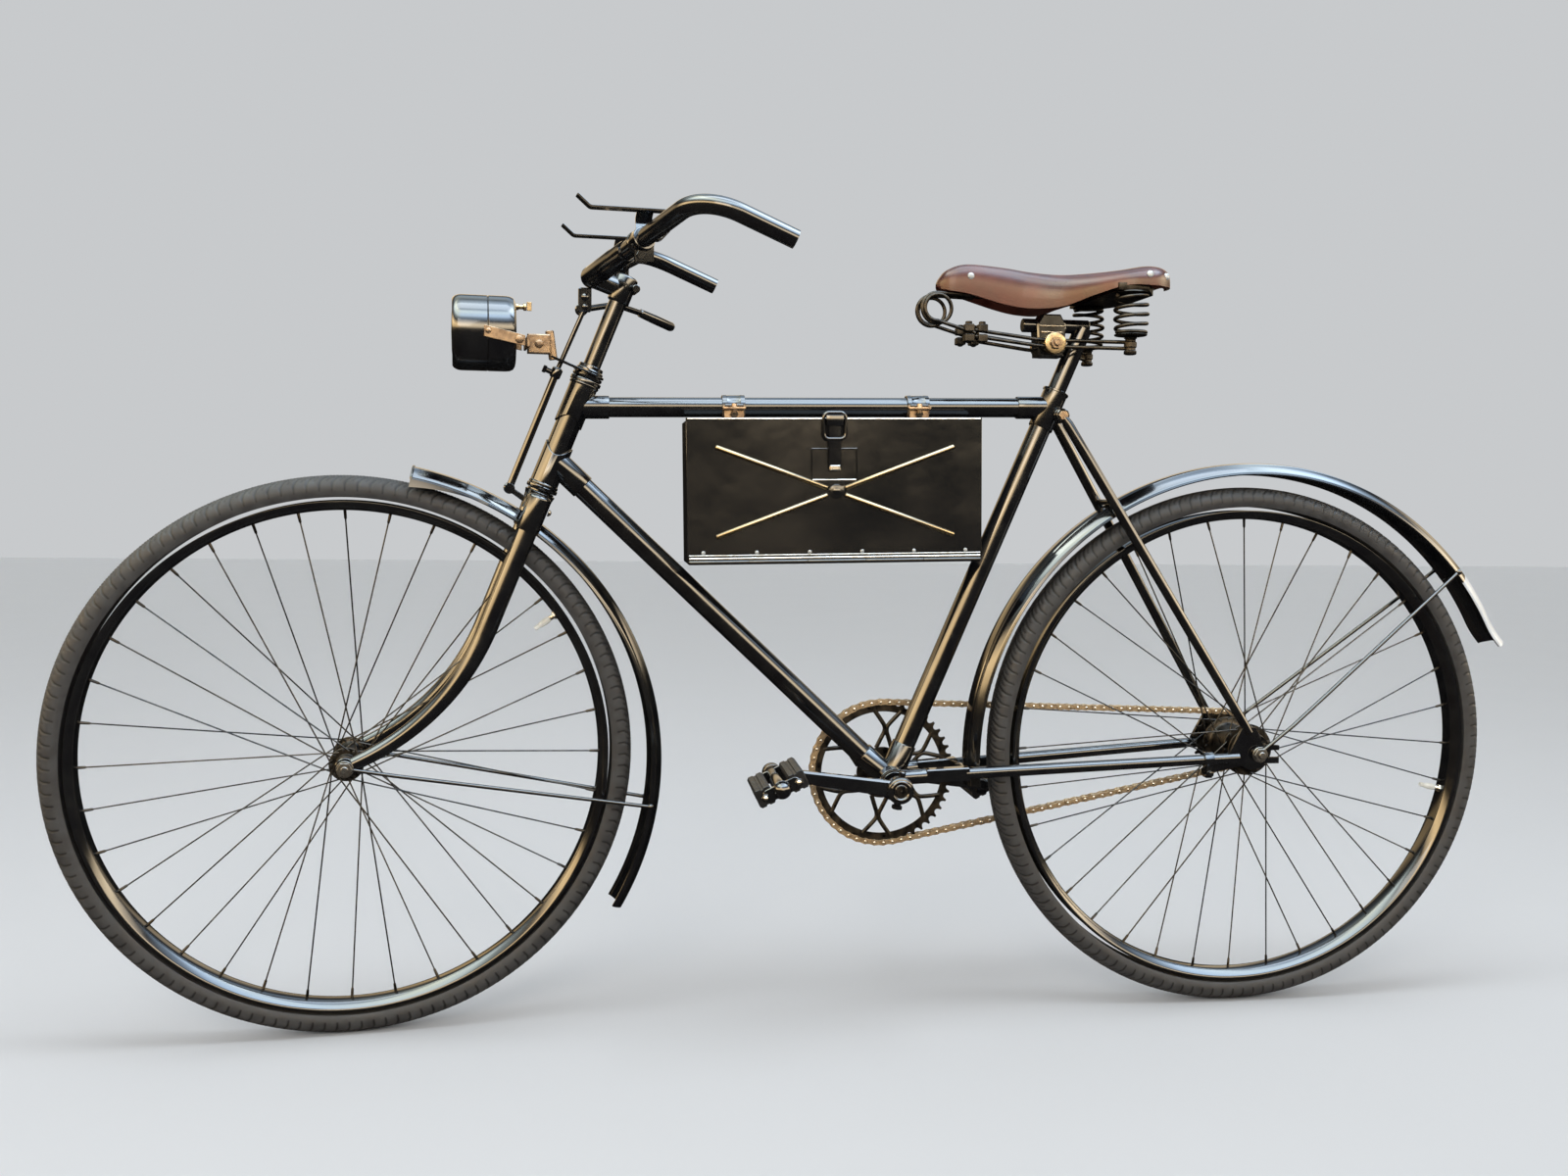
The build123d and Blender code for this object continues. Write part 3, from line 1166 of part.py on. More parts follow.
# Every node, by body
def build():
    frame, fork = {}, {}
    lug = seat_lug()
    frame["head_tube"] = head_assembly()
    frame["bracket_shell"] = bracket_shell()
    frame["seat_lug"] = lug
    frame["top_tube"] = frame_tube(TUBE_SEAT, TUBE_HEAD, TOP_TUBE_R, 45, 42)
    frame["down_tube"] = frame_tube(BRACKET, DOWN_HEAD, DOWN_TUBE_R, 52, 50)
    frame["seat_tube"] = frame_tube(BRACKET, TUBE_SEAT, SEAT_TUBE_R, 52, 30)
    frame["chain_stays"] = [chain_stay(side) for side in (1, -1)]
    frame["seat_stays"] = [seat_stay(side) - lug for side in (1, -1)]
    frame["stay_bridges"] = stay_bridges([*frame["chain_stays"], *frame["seat_stays"]])
    frame["rear_ends"] = [rear_end(side) for side in (1, -1)]
    frame["seat_pillar"] = seat_pillar()
    frame["saddle_clamp"] = saddle_clamp()
    leather = saddle_leather()
    frame["saddle_frame"] = saddle_frame(leather)
    frame["saddle_coils"] = [coil_spring(side) for side in (1, -1)]
    frame["saddle_cantle"] = cantle_plate(leather)
    frame["saddle_leather"] = leather
    rear_centre = REAR_AXLE + Vector(*REAR_GUARD_OFFSET)
    tail_start = REAR_GUARD_END - TAIL_ARC
    frame["rear_guard"] = guard_arc(rear_centre, REAR_GUARD_R, REAR_GUARD_START, tail_start)
    frame["rear_guard_tail"] = guard_arc(rear_centre, REAR_GUARD_R, tail_start, REAR_GUARD_END)
    rear_face, front_face = DROPOUT_Y + DROPOUT_T, FORK_END_Y + FORK_END_T
    frame["rear_guard_stays"] = guard_stay(REAR_AXLE, rear_face, rear_centre, REAR_GUARD_R, REAR_STAY_ANGLE)
    frame["rear_axle"] = axle_with_nuts(REAR_AXLE, rear_face + 2 * GUARD_STAY_R, 5.0)
    frame["brake_arm"] = brake_arm()
    frame["chain"] = chain()
    frame["case_body"] = case_body()
    frame["case_clamps"] = [case_clamp(x) for x in CLAMP_PLACES]
    crown = fork_crown()
    fork["fork_crown"] = crown
    fork["fork_blades"] = [fork_blade(side) - crown for side in (1, -1)]
    fork["steerer"] = steerer()
    bar = handlebar()
    fork["handlebar"] = bar
    fork["stem"] = stem(bar)
    fork["bar_rests"] = [bar_rest(side, bar) for side in (1, -1)]
    fork["brake_lever"] = brake_lever()
    fork["brake_rod"] = brake_rod()
    fork["lamp_shell"] = lamp_shell()
    fork["lamp_lens"] = lamp_lens()
    fork["lamp_bulb"] = lamp_bulb()
    fork["lamp_bracket"] = lamp_bracket()
    front_centre = FRONT_AXLE + Vector(*FRONT_GUARD_OFFSET)
    fork["front_guard"] = guard_arc(front_centre, FRONT_GUARD_R, FRONT_GUARD_START, FRONT_GUARD_END)
    fork["front_guard_stays"] = guard_stay(FRONT_AXLE, front_face, front_centre, FRONT_GUARD_R, FRONT_STAY_ANGLE)
    fork["front_axle"] = axle_with_nuts(FRONT_AXLE, front_face + 2 * GUARD_STAY_R, 4.5)
    at_front, at_rear = Location(FRONT_AXLE), Location(REAR_AXLE)
    fork["front_tyre"] = at_front * tyre()
    fork["front_rim"] = at_front * rim()
    fork["front_hub"] = at_front * front_hub()
    frame["rear_tyre"] = at_rear * tyre()
    frame["rear_rim"] = at_rear * rim()
    frame["rear_hub"] = at_rear * rear_hub()
    frame["chainwheel"] = chainwheel()
    spindle_end = CRANK_INNER_Y + CRANK_T + 6
    frame["spindle"] = disc(BRACKET_X, BRACKET_Z, SPINDLE_R, -spindle_end, spindle_end)
    for side, name in ((1, "left"), (-1, "right")):
        frame["crank_" + name] = crank(side)
        frame["pedal_frame_" + name] = pedal_frame(side)
        frame["pedal_blocks_" + name] = pedal_blocks(side)
    frame["case_door"] = case_door()
    frame["case_latch"] = case_latch()
    return frame, fork


def one_shape(value):
    """All solids of a node, as one compound where there are several."""
    shapes = value if isinstance(value, list) else [value]
    solids = [solid for shape in shapes for solid in shape.solids()]
    return solids[0] if len(solids) == 1 else Compound(children=solids)


def write_parts():
    os.makedirs("parts", exist_ok=True)
    frame, fork = build()
    to_seat = Location(SADDLE_TOP * -1)
    for name, value in frame.items():
        export_step(to_seat * one_shape(value), f"parts/{name}.step")
    for name, value in fork.items():
        turned_shape = one_shape(value).rotate(STEERING, STEER)
        export_step(to_seat * turned_shape, f"parts/{name}.step")


write_parts()
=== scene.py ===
import json
import bmesh
import bpy
from math import acos, atan2, cos, degrees, hypot, pi, radians, sin, tan
from mathutils import Matrix, Vector

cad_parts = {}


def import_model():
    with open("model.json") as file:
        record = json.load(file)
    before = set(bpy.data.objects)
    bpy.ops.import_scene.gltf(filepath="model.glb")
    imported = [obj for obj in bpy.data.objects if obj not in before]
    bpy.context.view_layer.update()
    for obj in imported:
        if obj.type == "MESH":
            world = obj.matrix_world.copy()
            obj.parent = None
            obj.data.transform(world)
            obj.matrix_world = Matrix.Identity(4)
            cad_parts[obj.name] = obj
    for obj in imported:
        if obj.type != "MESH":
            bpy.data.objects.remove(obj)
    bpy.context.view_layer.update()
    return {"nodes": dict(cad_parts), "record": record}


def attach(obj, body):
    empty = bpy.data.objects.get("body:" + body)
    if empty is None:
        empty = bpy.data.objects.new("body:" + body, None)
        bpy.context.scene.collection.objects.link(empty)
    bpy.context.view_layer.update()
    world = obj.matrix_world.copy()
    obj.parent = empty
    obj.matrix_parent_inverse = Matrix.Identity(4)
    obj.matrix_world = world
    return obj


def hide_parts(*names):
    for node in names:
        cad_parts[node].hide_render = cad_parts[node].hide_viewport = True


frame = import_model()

# Military roadster bicycle. Sizes are in millimetres from the floor under the rear axle, with +X forward,
# +Y left and +Z up. Every piece is built there, then moved to the saddle's top and scaled to metres.
SADDLE_TOP = Vector((235.0, 0, 984.0))
AHEAD = Vector((1, 0, 0))
LEFT = Vector((0, 1, 0))
UP = Vector((0, 0, 1))

# Wheels
WHEELBASE = 1185.7
TYRE_R = 355.5
TYRE_MIDDLE_R = 338.1
TYRE_HALF_W = 19.5
TREAD_PITCHES = 144
TREAD_STEPS = 14
TREAD_LENGTH = 2 * pi * TYRE_R / TREAD_PITCHES
TREAD_DEPTH = 2.0
TREAD_SIDE = 17.6
RIM_R = 323.5
RIM_IN_R = 312.8
SPOKES = 36
FRONT_AXLE = Vector((WHEELBASE, 0, TYRE_R))
REAR_AXLE = Vector((0, 0, TYRE_R))

# Frame
HEAD_ANGLE = 68.2
SEAT_ANGLE = 67.3
BRACKET = Vector((489.3, 0, 315.7))
TOP_TUBE_HEAD_Z = 800.5
TOP_TUBE_SEAT_Z = 813.0
DOWN_TUBE_HEAD_Z = 733.9
PILLAR_TOP_Z = 920.5
TOP_TUBE_R = 12.7
MAIN_TUBE_R = 14.3
HEAD_TUBE_R = 15.9
HEAD_LOW = 412.5
HEAD_TOP = 547.0
POST_R = 12.2
LUG_WALL = 2.0
STAY_R = 8.0
SEAT_STAY_R = 7.0
SEAT_BOLT = Vector((269, 0, 802))
CHAIN_STAY = Vector((483.3, 26.0, BRACKET.z + 8)), Vector((26.0, 59.5, TYRE_R - 5))
SEAT_STAY = SEAT_BOLT + LEFT * 20.8, Vector((12.0, 59.5, TYRE_R + 28))

# Guards: the middle, radius and ends in degrees of each arc
FRONT_GUARD = Vector((1181, 0, 339.5))
FRONT_GUARD_R = 391.0
FRONT_GUARD_ENDS = 101.5, 210.0
REAR_GUARD = Vector((-11, 0, 345.5))
REAR_GUARD_R = 398.5
REAR_GUARD_ENDS = -5.5, 141.5
TAIL_R = 398.7
TAIL_TURN = 16.0

# Fork, handlebar and lamp
STEER = 6.2
FORK_RAKE = 95.5
BLADE_BEND_TURN = 43.2
BLADE_BEND_R = 300.0
BLADE_STEPS = 24
BLADE_SOCKET_LOW = 350.5
FORK_TOP_Y = 41.0
CROWN_LOW = 376.0
CROWN_TOP = 398.0
STEM_R = 11.1
STEM_TOP = 696.0
BAR_R = 11.0
BAR_MIDDLE = Vector((885, 0, 963))
BAR_BEND = Vector((787, 247, 1030))
BAR_END = Vector((681, 249, 987))
BAR_REST_Y = 118.0
LAMP = Vector((979, 0, 889))
LAMP_R = 46.5

# Saddle
SADDLE_STATIONS = [
    # x, half width, crown height, skirt height
    (438.0, 5.0, 972.0, 966.0),
    (434.0, 12.0, 979.0, 963.0),
    (424.0, 20.0, 989.0, 960.0),
    (400.0, 24.0, 996.0, 956.0),
    (352.0, 28.0, 993.0, 943.0),
    (318.0, 36.0, 988.0, 938.0),
    (282.0, 52.0, 984.5, 940.0),
    (250.0, 72.0, 985.0, 952.0),
    (214.0, 92.0, 988.0, 963.0),
    (180.0, 99.0, 994.0, 963.0),
    (156.0, 84.0, 993.0, 963.0),
    (145.0, 62.0, 985.0, 964.0),
    (140.0, 36.0, 976.0, 966.0),
]
SECTION_POWER = 2 / 3.5
SADDLE_BOLT = Vector((285, 0, 895))
SPRING_FOOT = Vector((202, 78, 889))
WIRE_BLOCK = Vector((390, 20.5, 906))
NOSE_TURNS = 1.5
COIL_TURNS = 4
COIL_LOW = 905.3
COIL_RISE = 47.4

# Case, in its own frame under the top tube
CASE_L = 375.0
CASE_H = 182.0
CASE_T = 110.0
CASE_X = 578.5
CASE_TOP_DROP = 18.0
CASE_LOW = -CASE_TOP_DROP - CASE_H
DOOR_FACE = CASE_T / 2 + 1.9
RIB_MIDDLE_Z = -109.0
CASE_CLAMPS_X = 125.0, -117.0

# Drive
PITCH = 12.7
ROLLER_R = 4.0
CHAINWHEEL_TEETH = 48
SPROCKET_TEETH = 20
TOOTHED_T = 3.0
CHAIN_LINE = -47.0
CRANK_LENGTH = 168.0
CRANK_ANGLE = 8.5
PEDAL_IN = 77.0
PEDAL_OUT = 165.0
PEDAL_TILT = 25.0
BLOCK_OFF = 22.0
BLOCK_SLIM = 0.78
BLOCK_RIBS = 9

# Solids with eased edges: the angle from which an edge is eased, and the size from which a face stays flat
EASED_ANGLE = 28.0
FLAT_FACE_M2 = 0.0003

# Camera, floor and lights, in metres and degrees
CAMERA_PLACE = (0.6370, 1.7506, -0.2909)
CAMERA_TURN = (86.0578, -0.7383, 172.3078)
CAMERA_FOCUS_PX = 1381.1
PHOTO_W = 1600
SENSOR_W = 36.0
FLOOR_REACH = 12.0
LIGHT_TARGET = Vector((0.3, 0, -0.5))

# What gloss mirrors, from straight down to straight up: height, colour
SKY = ((0.0, (0.004, 0.0035, 0.0035)), (0.50, (0.006, 0.0055, 0.005)), (0.555, (0.02, 0.017, 0.012)),
       (0.60, (0.60, 0.48, 0.32)), (0.65, (0.82, 0.67, 0.46)), (0.70, (0.42, 0.36, 0.28)),
       (0.74, (0.03, 0.034, 0.038)), (0.80, (0.16, 0.21, 0.27)), (0.87, (0.58, 0.76, 0.98)),
       (0.93, (0.72, 0.88, 1.0)), (0.97, (0.28, 0.36, 0.46)), (1.0, (0.32, 0.41, 0.52)))


def leaning(angle):
    """The way up a tube that leans back, at an angle to the floor."""
    return Vector((-cos(radians(angle)), 0, sin(radians(angle))))


def level_on(foot, direction, z):
    """Where a line through a foot comes to the height z."""
    return foot + direction * ((z - foot.z) / direction.z)


def towards(start, end, distance):
    return start + (end - start).normalized() * distance


AXIS_UP = leaning(HEAD_ANGLE)
AXIS_AHEAD = Vector((AXIS_UP.z, 0, -AXIS_UP.x))
AXIS_FOOT = FRONT_AXLE - AXIS_AHEAD * FORK_RAKE
SEAT_UP = leaning(SEAT_ANGLE)
TUBE_HEAD = level_on(AXIS_FOOT, AXIS_UP, TOP_TUBE_HEAD_Z)
TUBE_SEAT = level_on(BRACKET, SEAT_UP, TOP_TUBE_SEAT_Z)
DOWN_HEAD = level_on(AXIS_FOOT, AXIS_UP, DOWN_TUBE_HEAD_Z)
TUBE_DIR = (TUBE_HEAD - TUBE_SEAT).normalized()
TUBE_UP = TUBE_DIR.cross(LEFT)
CASE_ORIGIN = towards(TUBE_SEAT, TUBE_HEAD, (CASE_X - TUBE_SEAT.x) / TUBE_DIR.x)

TO_FRAME = Matrix.Scale(0.001, 4) @ Matrix.Translation(-SADDLE_TOP)
TURNED = (Matrix.Translation(AXIS_FOOT) @ Matrix.Rotation(radians(STEER), 4, AXIS_UP)
          @ Matrix.Translation(-AXIS_FOOT))
STEERED_BODIES = ("fork", "front_wheel")
BODY_OF = {node: body for body, nodes in frame["record"]["behaviour"]["bodies"].items() for node in nodes}
MATERIALS = {}


def head_point(s, ahead=0.0, side=0.0):
    """A point at height s on the steering axis, set ahead of it and to one side."""
    return AXIS_FOOT + AXIS_UP * s + AXIS_AHEAD * ahead + LEFT * side


def in_case(x, y, z):
    return CASE_ORIGIN + TUBE_DIR * x + LEFT * y + TUBE_UP * z


def bar_point(y):
    """A point on the left half of the bar, up to its bend."""
    return BAR_MIDDLE.lerp(BAR_BEND, y / BAR_BEND.y)


def on_circle(centre, radius, angle, y=0.0):
    return centre + Vector((radius * cos(radians(angle)), y, radius * sin(radians(angle))))


def other_side(point):
    return Vector((point[0], -point[1], point[2]))


# Materials
def fill(tree, node, values):
    """Sets a shader node's inputs to numbers and colours, or links them to other nodes' outputs."""
    for name, value in values.items():
        if isinstance(value, bpy.types.NodeSocket):
            tree.links.new(value, node.inputs[name])
        else:
            node.inputs[name].default_value = value
    return node


def add(tree, kind, values=None, **settings):
    """A new shader node with its settings and inputs."""
    made = tree.nodes.new("ShaderNode" + kind)
    for name, value in settings.items():
        setattr(made, name, value)
    return fill(tree, made, values or {})


def material(name, colour, other, roughness, spread, metallic=0.0, coat=0.0, scale=60.0, bump=0.1,
             bump_scale=400.0, bump_height=0.0002, specular=0.5):
    """Two colours mixed by noise, with roughness from the same noise and a fine bump of its own."""
    made = bpy.data.materials.new(name)
    made.use_nodes = True
    tree = made.node_tree
    place = add(tree, "TexCoord").outputs["Object"]
    cloud = add(tree, "TexNoise", {"Scale": scale, "Detail": 4.0, "Vector": place})
    share = add(tree, "MapRange", {"From Min": 0.35, "From Max": 0.65, "Value": cloud.outputs["Fac"]})
    share = share.outputs["Result"]
    mix = add(tree, "Mix", {"A": (*colour, 1), "B": (*other, 1), "Factor": share}, data_type="RGBA")
    rough = add(tree, "MapRange", {"To Min": roughness, "To Max": roughness + spread, "Value": share})
    grain = add(tree, "TexNoise", {"Scale": bump_scale, "Detail": 3.0, "Vector": place})
    relief = add(tree, "Bump", {"Strength": bump, "Distance": bump_height, "Height": grain.outputs["Fac"]})
    fill(tree, tree.nodes["Principled BSDF"], {
        "Metallic": metallic, "Coat Weight": coat, "Coat Roughness": 0.06, "Specular IOR Level": specular,
        "Base Color": mix.outputs["Result"], "Roughness": rough.outputs["Result"],
        "Normal": relief.outputs["Normal"]})
    MATERIALS[name] = made
    return made


def glass(name, colour, roughness):
    dim = tuple(c * 0.96 for c in colour)
    tree = material(name, colour, dim, roughness, 0.02, scale=30, bump=0.03, bump_scale=90).node_tree
    fill(tree, tree.nodes["Principled BSDF"], {"Transmission Weight": 1.0, "IOR": 1.46})


def paint_shade_in_cuts(name, dark, attribute):
    """Mixes in a dark colour as painted shade where a mesh attribute says that the surface is cut."""
    tree = MATERIALS[name].node_tree
    shader = tree.nodes["Principled BSDF"]
    plain = shader.inputs["Base Color"].links[0].from_socket
    cut = add(tree, "Attribute", attribute_name=attribute).outputs["Fac"]
    mix = add(tree, "Mix", {"A": plain, "B": (*dark, 1), "Factor": cut}, data_type="RGBA")
    fill(tree, shader, {"Base Color": mix.outputs["Result"]})


material("black_enamel", (0.004, 0.004, 0.005), (0.009, 0.009, 0.009), 0.09, 0.10, coat=0.5, scale=35,
         bump=0.05, bump_scale=70)
material("case_enamel", (0.007, 0.007, 0.007), (0.011, 0.010, 0.009), 0.15, 0.08, coat=0.2, scale=9,
         bump=0.6, bump_scale=11, bump_height=0.003)
material("white_paint", (0.88, 0.89, 0.90), (0.80, 0.80, 0.79), 0.30, 0.15, scale=50)
material("tyre", (0.045, 0.042, 0.040), (0.062, 0.059, 0.056), 0.50, 0.2, bump=0.4, bump_scale=900,
         specular=0.25)
material("rubber", (0.008, 0.008, 0.009), (0.018, 0.018, 0.019), 0.32, 0.15, scale=70, bump=0.2,
         bump_scale=700, specular=0.22)
material("leather", (0.056, 0.013, 0.008), (0.108, 0.030, 0.018), 0.27, 0.12, coat=0.12, scale=22, bump=0.3,
         bump_scale=520, bump_height=0.0003, specular=0.30)
material("dark_steel", (0.012, 0.011, 0.010), (0.042, 0.035, 0.027), 0.26, 0.2, metallic=0.8, scale=90,
         bump=0.2, bump_scale=600)
material("spoke_steel", (0.02, 0.02, 0.02), (0.06, 0.056, 0.052), 0.30, 0.2, metallic=0.85, scale=120)
material("nut_steel", (0.20, 0.195, 0.185), (0.09, 0.083, 0.075), 0.26, 0.18, metallic=0.85, scale=130,
         bump=0.2)
material("bare_steel", (0.62, 0.60, 0.56), (0.40, 0.36, 0.30), 0.22, 0.2, metallic=1.0, scale=140, bump=0.15)
material("brass", (0.42, 0.33, 0.20), (0.24, 0.18, 0.11), 0.30, 0.2, metallic=1.0, scale=150, bump=0.15)
# Painted highlight: gold metal for the case door's black enamel ribs, standing in for the gleam along them.
material("rib_gold_highlight", (0.30, 0.24, 0.145), (0.22, 0.19, 0.14), 0.24, 0.15, metallic=1.0, scale=25, bump=0.05)
material("rivet_grey", (0.42, 0.43, 0.43), (0.32, 0.32, 0.31), 0.45, 0.15, metallic=0.3, scale=140,
         specular=0.3)
material("reflector", (0.86, 0.86, 0.85), (0.80, 0.80, 0.78), 0.08, 0.06, metallic=1.0, scale=40, bump=0.02)
material("tan_steel", (0.33, 0.235, 0.15), (0.16, 0.105, 0.065), 0.34, 0.22, metallic=0.75, scale=110,
         bump=0.3, bump_scale=700)
material("chain_steel", (0.40, 0.31, 0.20), (0.20, 0.145, 0.09), 0.38, 0.25, metallic=0.75, scale=160,
         bump=0.35)
material("pale_plastic", (0.86, 0.83, 0.75), (0.72, 0.68, 0.58), 0.4, 0.15, scale=120)
# Painted shade: the tyre's tread grooves get a darker colour, the deepest cuts the darkest.
paint_shade_in_cuts("tyre", (0.006, 0.006, 0.006), "cut")
glass("glass", (0.94, 0.96, 0.96), 0.03)
glass("bulb_glass", (0.95, 0.93, 0.88), 0.02)


# Forms: points and faces gathered in millimetres
def square_to(axis):
    """Two directions square to an axis and to each other, then the axis itself, each 1 long."""
    w = axis.normalized()
    u = LEFT if abs(w.y) < 0.9 else AHEAD
    u = (u - w * u.dot(w)).normalized()
    return u, w.cross(u), w


def circle(centre, u, v, radius, sides, flat=1.0):
    turns = (2 * pi * i / sides for i in range(sides))
    return [centre + (u * cos(a) + v * (sin(a) * flat)) * radius for a in turns]


class Form:
    def __init__(self):
        self.points = []
        self.faces = []

    def rings(self, rings, caps=True, loop=False):
        """Quads between rings of corners, closed at the ends or round to the first."""
        base, count = len(self.points), len(rings[0])
        for ring in rings:
            self.points.extend(ring)
        last = len(rings) if loop else len(rings) - 1
        for k in range(last):
            a, b = base + k * count, base + (k + 1) % len(rings) * count
            for i in range(count):
                j = (i + 1) % count
                self.faces.append((a + i, a + j, b + j, b + i))
        if caps and not loop:
            self.faces.append(tuple(base + i for i in reversed(range(count))))
            self.faces.append(tuple(base + (len(rings) - 1) * count + i for i in range(count)))
        return self

    def mirrored(self):
        """Adds the same again on the bicycle's other side."""
        base = len(self.points)
        self.points += [other_side(point) for point in self.points]
        self.faces += [tuple(base + i for i in reversed(face)) for face in self.faces]
        return self

    def tube(self, path, radius, sides=24, caps=True, flat=1.0, across=None):
        """A round or oval tube along a path, with one radius or one for each point."""
        radii = radius if isinstance(radius, list) else [radius] * len(path)
        rings = []
        u = across
        for k, point in enumerate(path):
            direction = (path[min(k + 1, len(path) - 1)] - path[max(k - 1, 0)]).normalized()
            if u is None:
                u = LEFT if abs(direction.y) < 0.9 else AHEAD
            u = (u - direction * u.dot(direction)).normalized()
            rings.append(circle(point, u, direction.cross(u), radii[k], sides, flat))
        return self.rings(rings, caps)

    def rod(self, start, end, radius, ease=0.5, sides=24):
        """A rod whose end corners are eased."""
        ease = min(ease, (end - start).length * 0.3, radius * 0.5)
        path = [start, towards(start, end, ease), towards(end, start, ease), end]
        return self.tube(path, [radius - ease, radius, radius, radius - ease], sides)

    def lathe(self, centre, axis, rows, sides=48, ease=0.4):
        """Turned about an axis from (along, radius) rows, with each corner eased."""
        u, v, w = square_to(axis)
        return self.rings([circle(centre + w * along, u, v, max(radius, 0.01), sides)
                           for along, radius in eased(rows, ease)])

    def sleeve(self, start, end, radius, scallop=0.0, sides=48):
        """A lug's socket, its far edge cut in waves and bevelled down to the tube."""
        u, v, w = square_to(end - start)
        length = (end - start).length
        rings = []
        for along, r, wave in ((0, radius - 0.5, 0), (0.6, radius, 0), (length - 0.8, radius, 1),
                               (length, radius - 0.48, 1), (length + 0.01, radius - LUG_WALL, 1)):
            ring = []
            for i in range(sides):
                a = 2 * pi * i / sides
                shift = wave * scallop * (0.5 + 0.5 * cos(2 * a))
                ring.append(start + w * (along - shift) + (u * cos(a) + v * sin(a)) * r)
            rings.append(ring)
        return self.rings(rings)

    def hoop(self, centre, loop, sides, start=0.0, end=360.0):
        """A closed section of (radius, side) points turned about the wheel's axis."""
        whole = end - start >= 360
        count = sides if whole else int(sides * (end - start) / 360)
        rings = []
        for k in range(count if whole else count + 1):
            angle = start + (end - start) * k / count
            rings.append([on_circle(centre, r, angle, y) for r, y in loop])
        return self.rings(rings, loop=whole)

    def prism(self, centre, axis, radius, height, sides=6, ease=0.6):
        """A nut or bolt head, its outer corners eased."""
        return self.lathe(centre, axis, [(0, radius), (height, radius)], sides, ease)

    def slab(self, outline, origin, u, v, thickness, ease=0.4):
        """A flat plate with eased edges, from an outline in the plane of u and v."""
        w = u.cross(v).normalized()
        inner, half = inset(outline, ease), thickness / 2
        rows = (inner, -half), (outline, ease - half), (outline, half - ease), (inner, half)
        return self.rings([[origin + u * x + v * y + w * depth for x, y in points] for points, depth in rows])

    def box(self, centre, u, v, size, ease=0.5):
        """A block of (along u, along v, along their normal) sizes."""
        a, b = size[0] / 2, size[1] / 2
        return self.slab([(-a, -b), (a, -b), (a, b), (-a, b)], centre, u, v, size[2], ease)

    def dome(self, centre, axis, radius, height, sides=20):
        """A rivet or screw head."""
        turns = [pi / 2 * k / 5 for k in range(5)]
        rows = [(height * sin(a), radius * cos(a)) for a in turns]
        return self.lathe(centre, axis, [*rows, (height, radius * 0.1)], sides, 0)


def eased(rows, ease):
    """The rows of a turned profile, with two places for each corner."""
    if not ease:
        return rows
    points = [Vector((rows[0][0], 0)), *(Vector(row) for row in rows), Vector((rows[-1][0], 0))]
    out = []
    for before, corner, after in zip(points, points[1:], points[2:]):
        a, b = before - corner, after - corner
        if a.length < 1e-6 or b.length < 1e-6 or a.normalized().dot(b.normalized()) < -0.995:
            out.append(corner)
            continue
        for leg in (a, b):
            out.append(corner + leg.normalized() * min(ease, leg.length * 0.35))
    return out


def inset(outline, distance):
    """The outline moved inwards, for a counter-clockwise or clockwise polygon."""
    area = sum(a[0] * b[1] - b[0] * a[1] for a, b in zip(outline, [*outline[1:], outline[0]]))
    turn = 1 if area > 0 else -1
    out = []
    for k, corner in enumerate(outline):
        before, after = Vector(outline[k - 1]), Vector(outline[(k + 1) % len(outline)])
        corner = Vector(corner)
        a, b = (corner - before).normalized(), (after - corner).normalized()
        na, nb = Vector((-a.y, a.x)) * turn, Vector((-b.y, b.x)) * turn
        out.append(tuple(corner + (na + nb) * (distance / max(1 + na.dot(nb), 0.35))))
    return out


def rounded(points, bends, steps=10):
    """The points of a bent line, with each corner turned into short steps on its arc."""
    out = [points[0]]
    for before, corner, after, radius in zip(points, points[1:], points[2:], bends):
        u, v = (before - corner).normalized(), (after - corner).normalized()
        half = acos(max(-1.0, min(1.0, u.dot(v)))) / 2
        centre = corner + (u + v).normalized() * (radius / sin(half))
        first, last = (corner + leg * (radius / tan(half)) - centre for leg in (u, v))
        whole = pi - 2 * half
        for k in range(steps + 1):
            part = k / steps * whole
            out.append(centre + (first * sin(whole - part) + last * sin(part)) / sin(whole))
    out.append(points[-1])
    return out


def spline(rows, steps):
    """Rows of numbers with smooth rows between them, through every given row."""
    out = []
    for k in range(len(rows) - 1):
        p0, p1 = rows[max(k - 1, 0)], rows[k]
        p2, p3 = rows[k + 1], rows[min(k + 2, len(rows) - 1)]
        for i in range(steps):
            t = i / steps
            out.append([0.5 * (2 * b + (c - a) * t + (2 * a - 5 * b + 4 * c - d) * t * t
                               + (3 * b - a - 3 * c + d) * t ** 3) for a, b, c, d in zip(p0, p1, p2, p3)])
    return [*out, rows[-1]]


def both_ways(rows):
    """Rows of (along, radius) from near the middle outwards, with the same on its other side before them."""
    return [(-along, radius) for along, radius in reversed(rows)] + rows


def and_back(points):
    """Half of an outline, then its mirror image back to the start."""
    return points + [(x, -y) for x, y in reversed(points)]


def dress(mesh, name, body, finish, node, sharp):
    """Makes the object, shades it, gives it its material and sets it on its body."""
    cleaner = bmesh.new()
    cleaner.from_mesh(mesh)
    bmesh.ops.recalc_face_normals(cleaner, faces=cleaner.faces)
    cleaner.to_mesh(mesh)
    cleaner.free()
    mesh.shade_smooth()
    mesh.set_sharp_from_angle(angle=radians(sharp))
    made = bpy.data.objects.new(name, mesh)
    bpy.context.scene.collection.objects.link(made)
    mesh.materials.append(MATERIALS[finish])
    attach(made, body)
    if node:
        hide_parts(node)
    return made


def piece(name, form, body, finish, node=None, sharp=32.0):
    """A piece from a form, in the place of a solid's node where one is named."""
    mesh = bpy.data.meshes.new(name)
    mesh.from_pydata([tuple(point) for point in form.points], [], form.faces)
    if body in STEERED_BODIES:
        mesh.transform(TURNED)
    mesh.transform(TO_FRAME)
    return dress(mesh, name, body, finish, node, sharp)


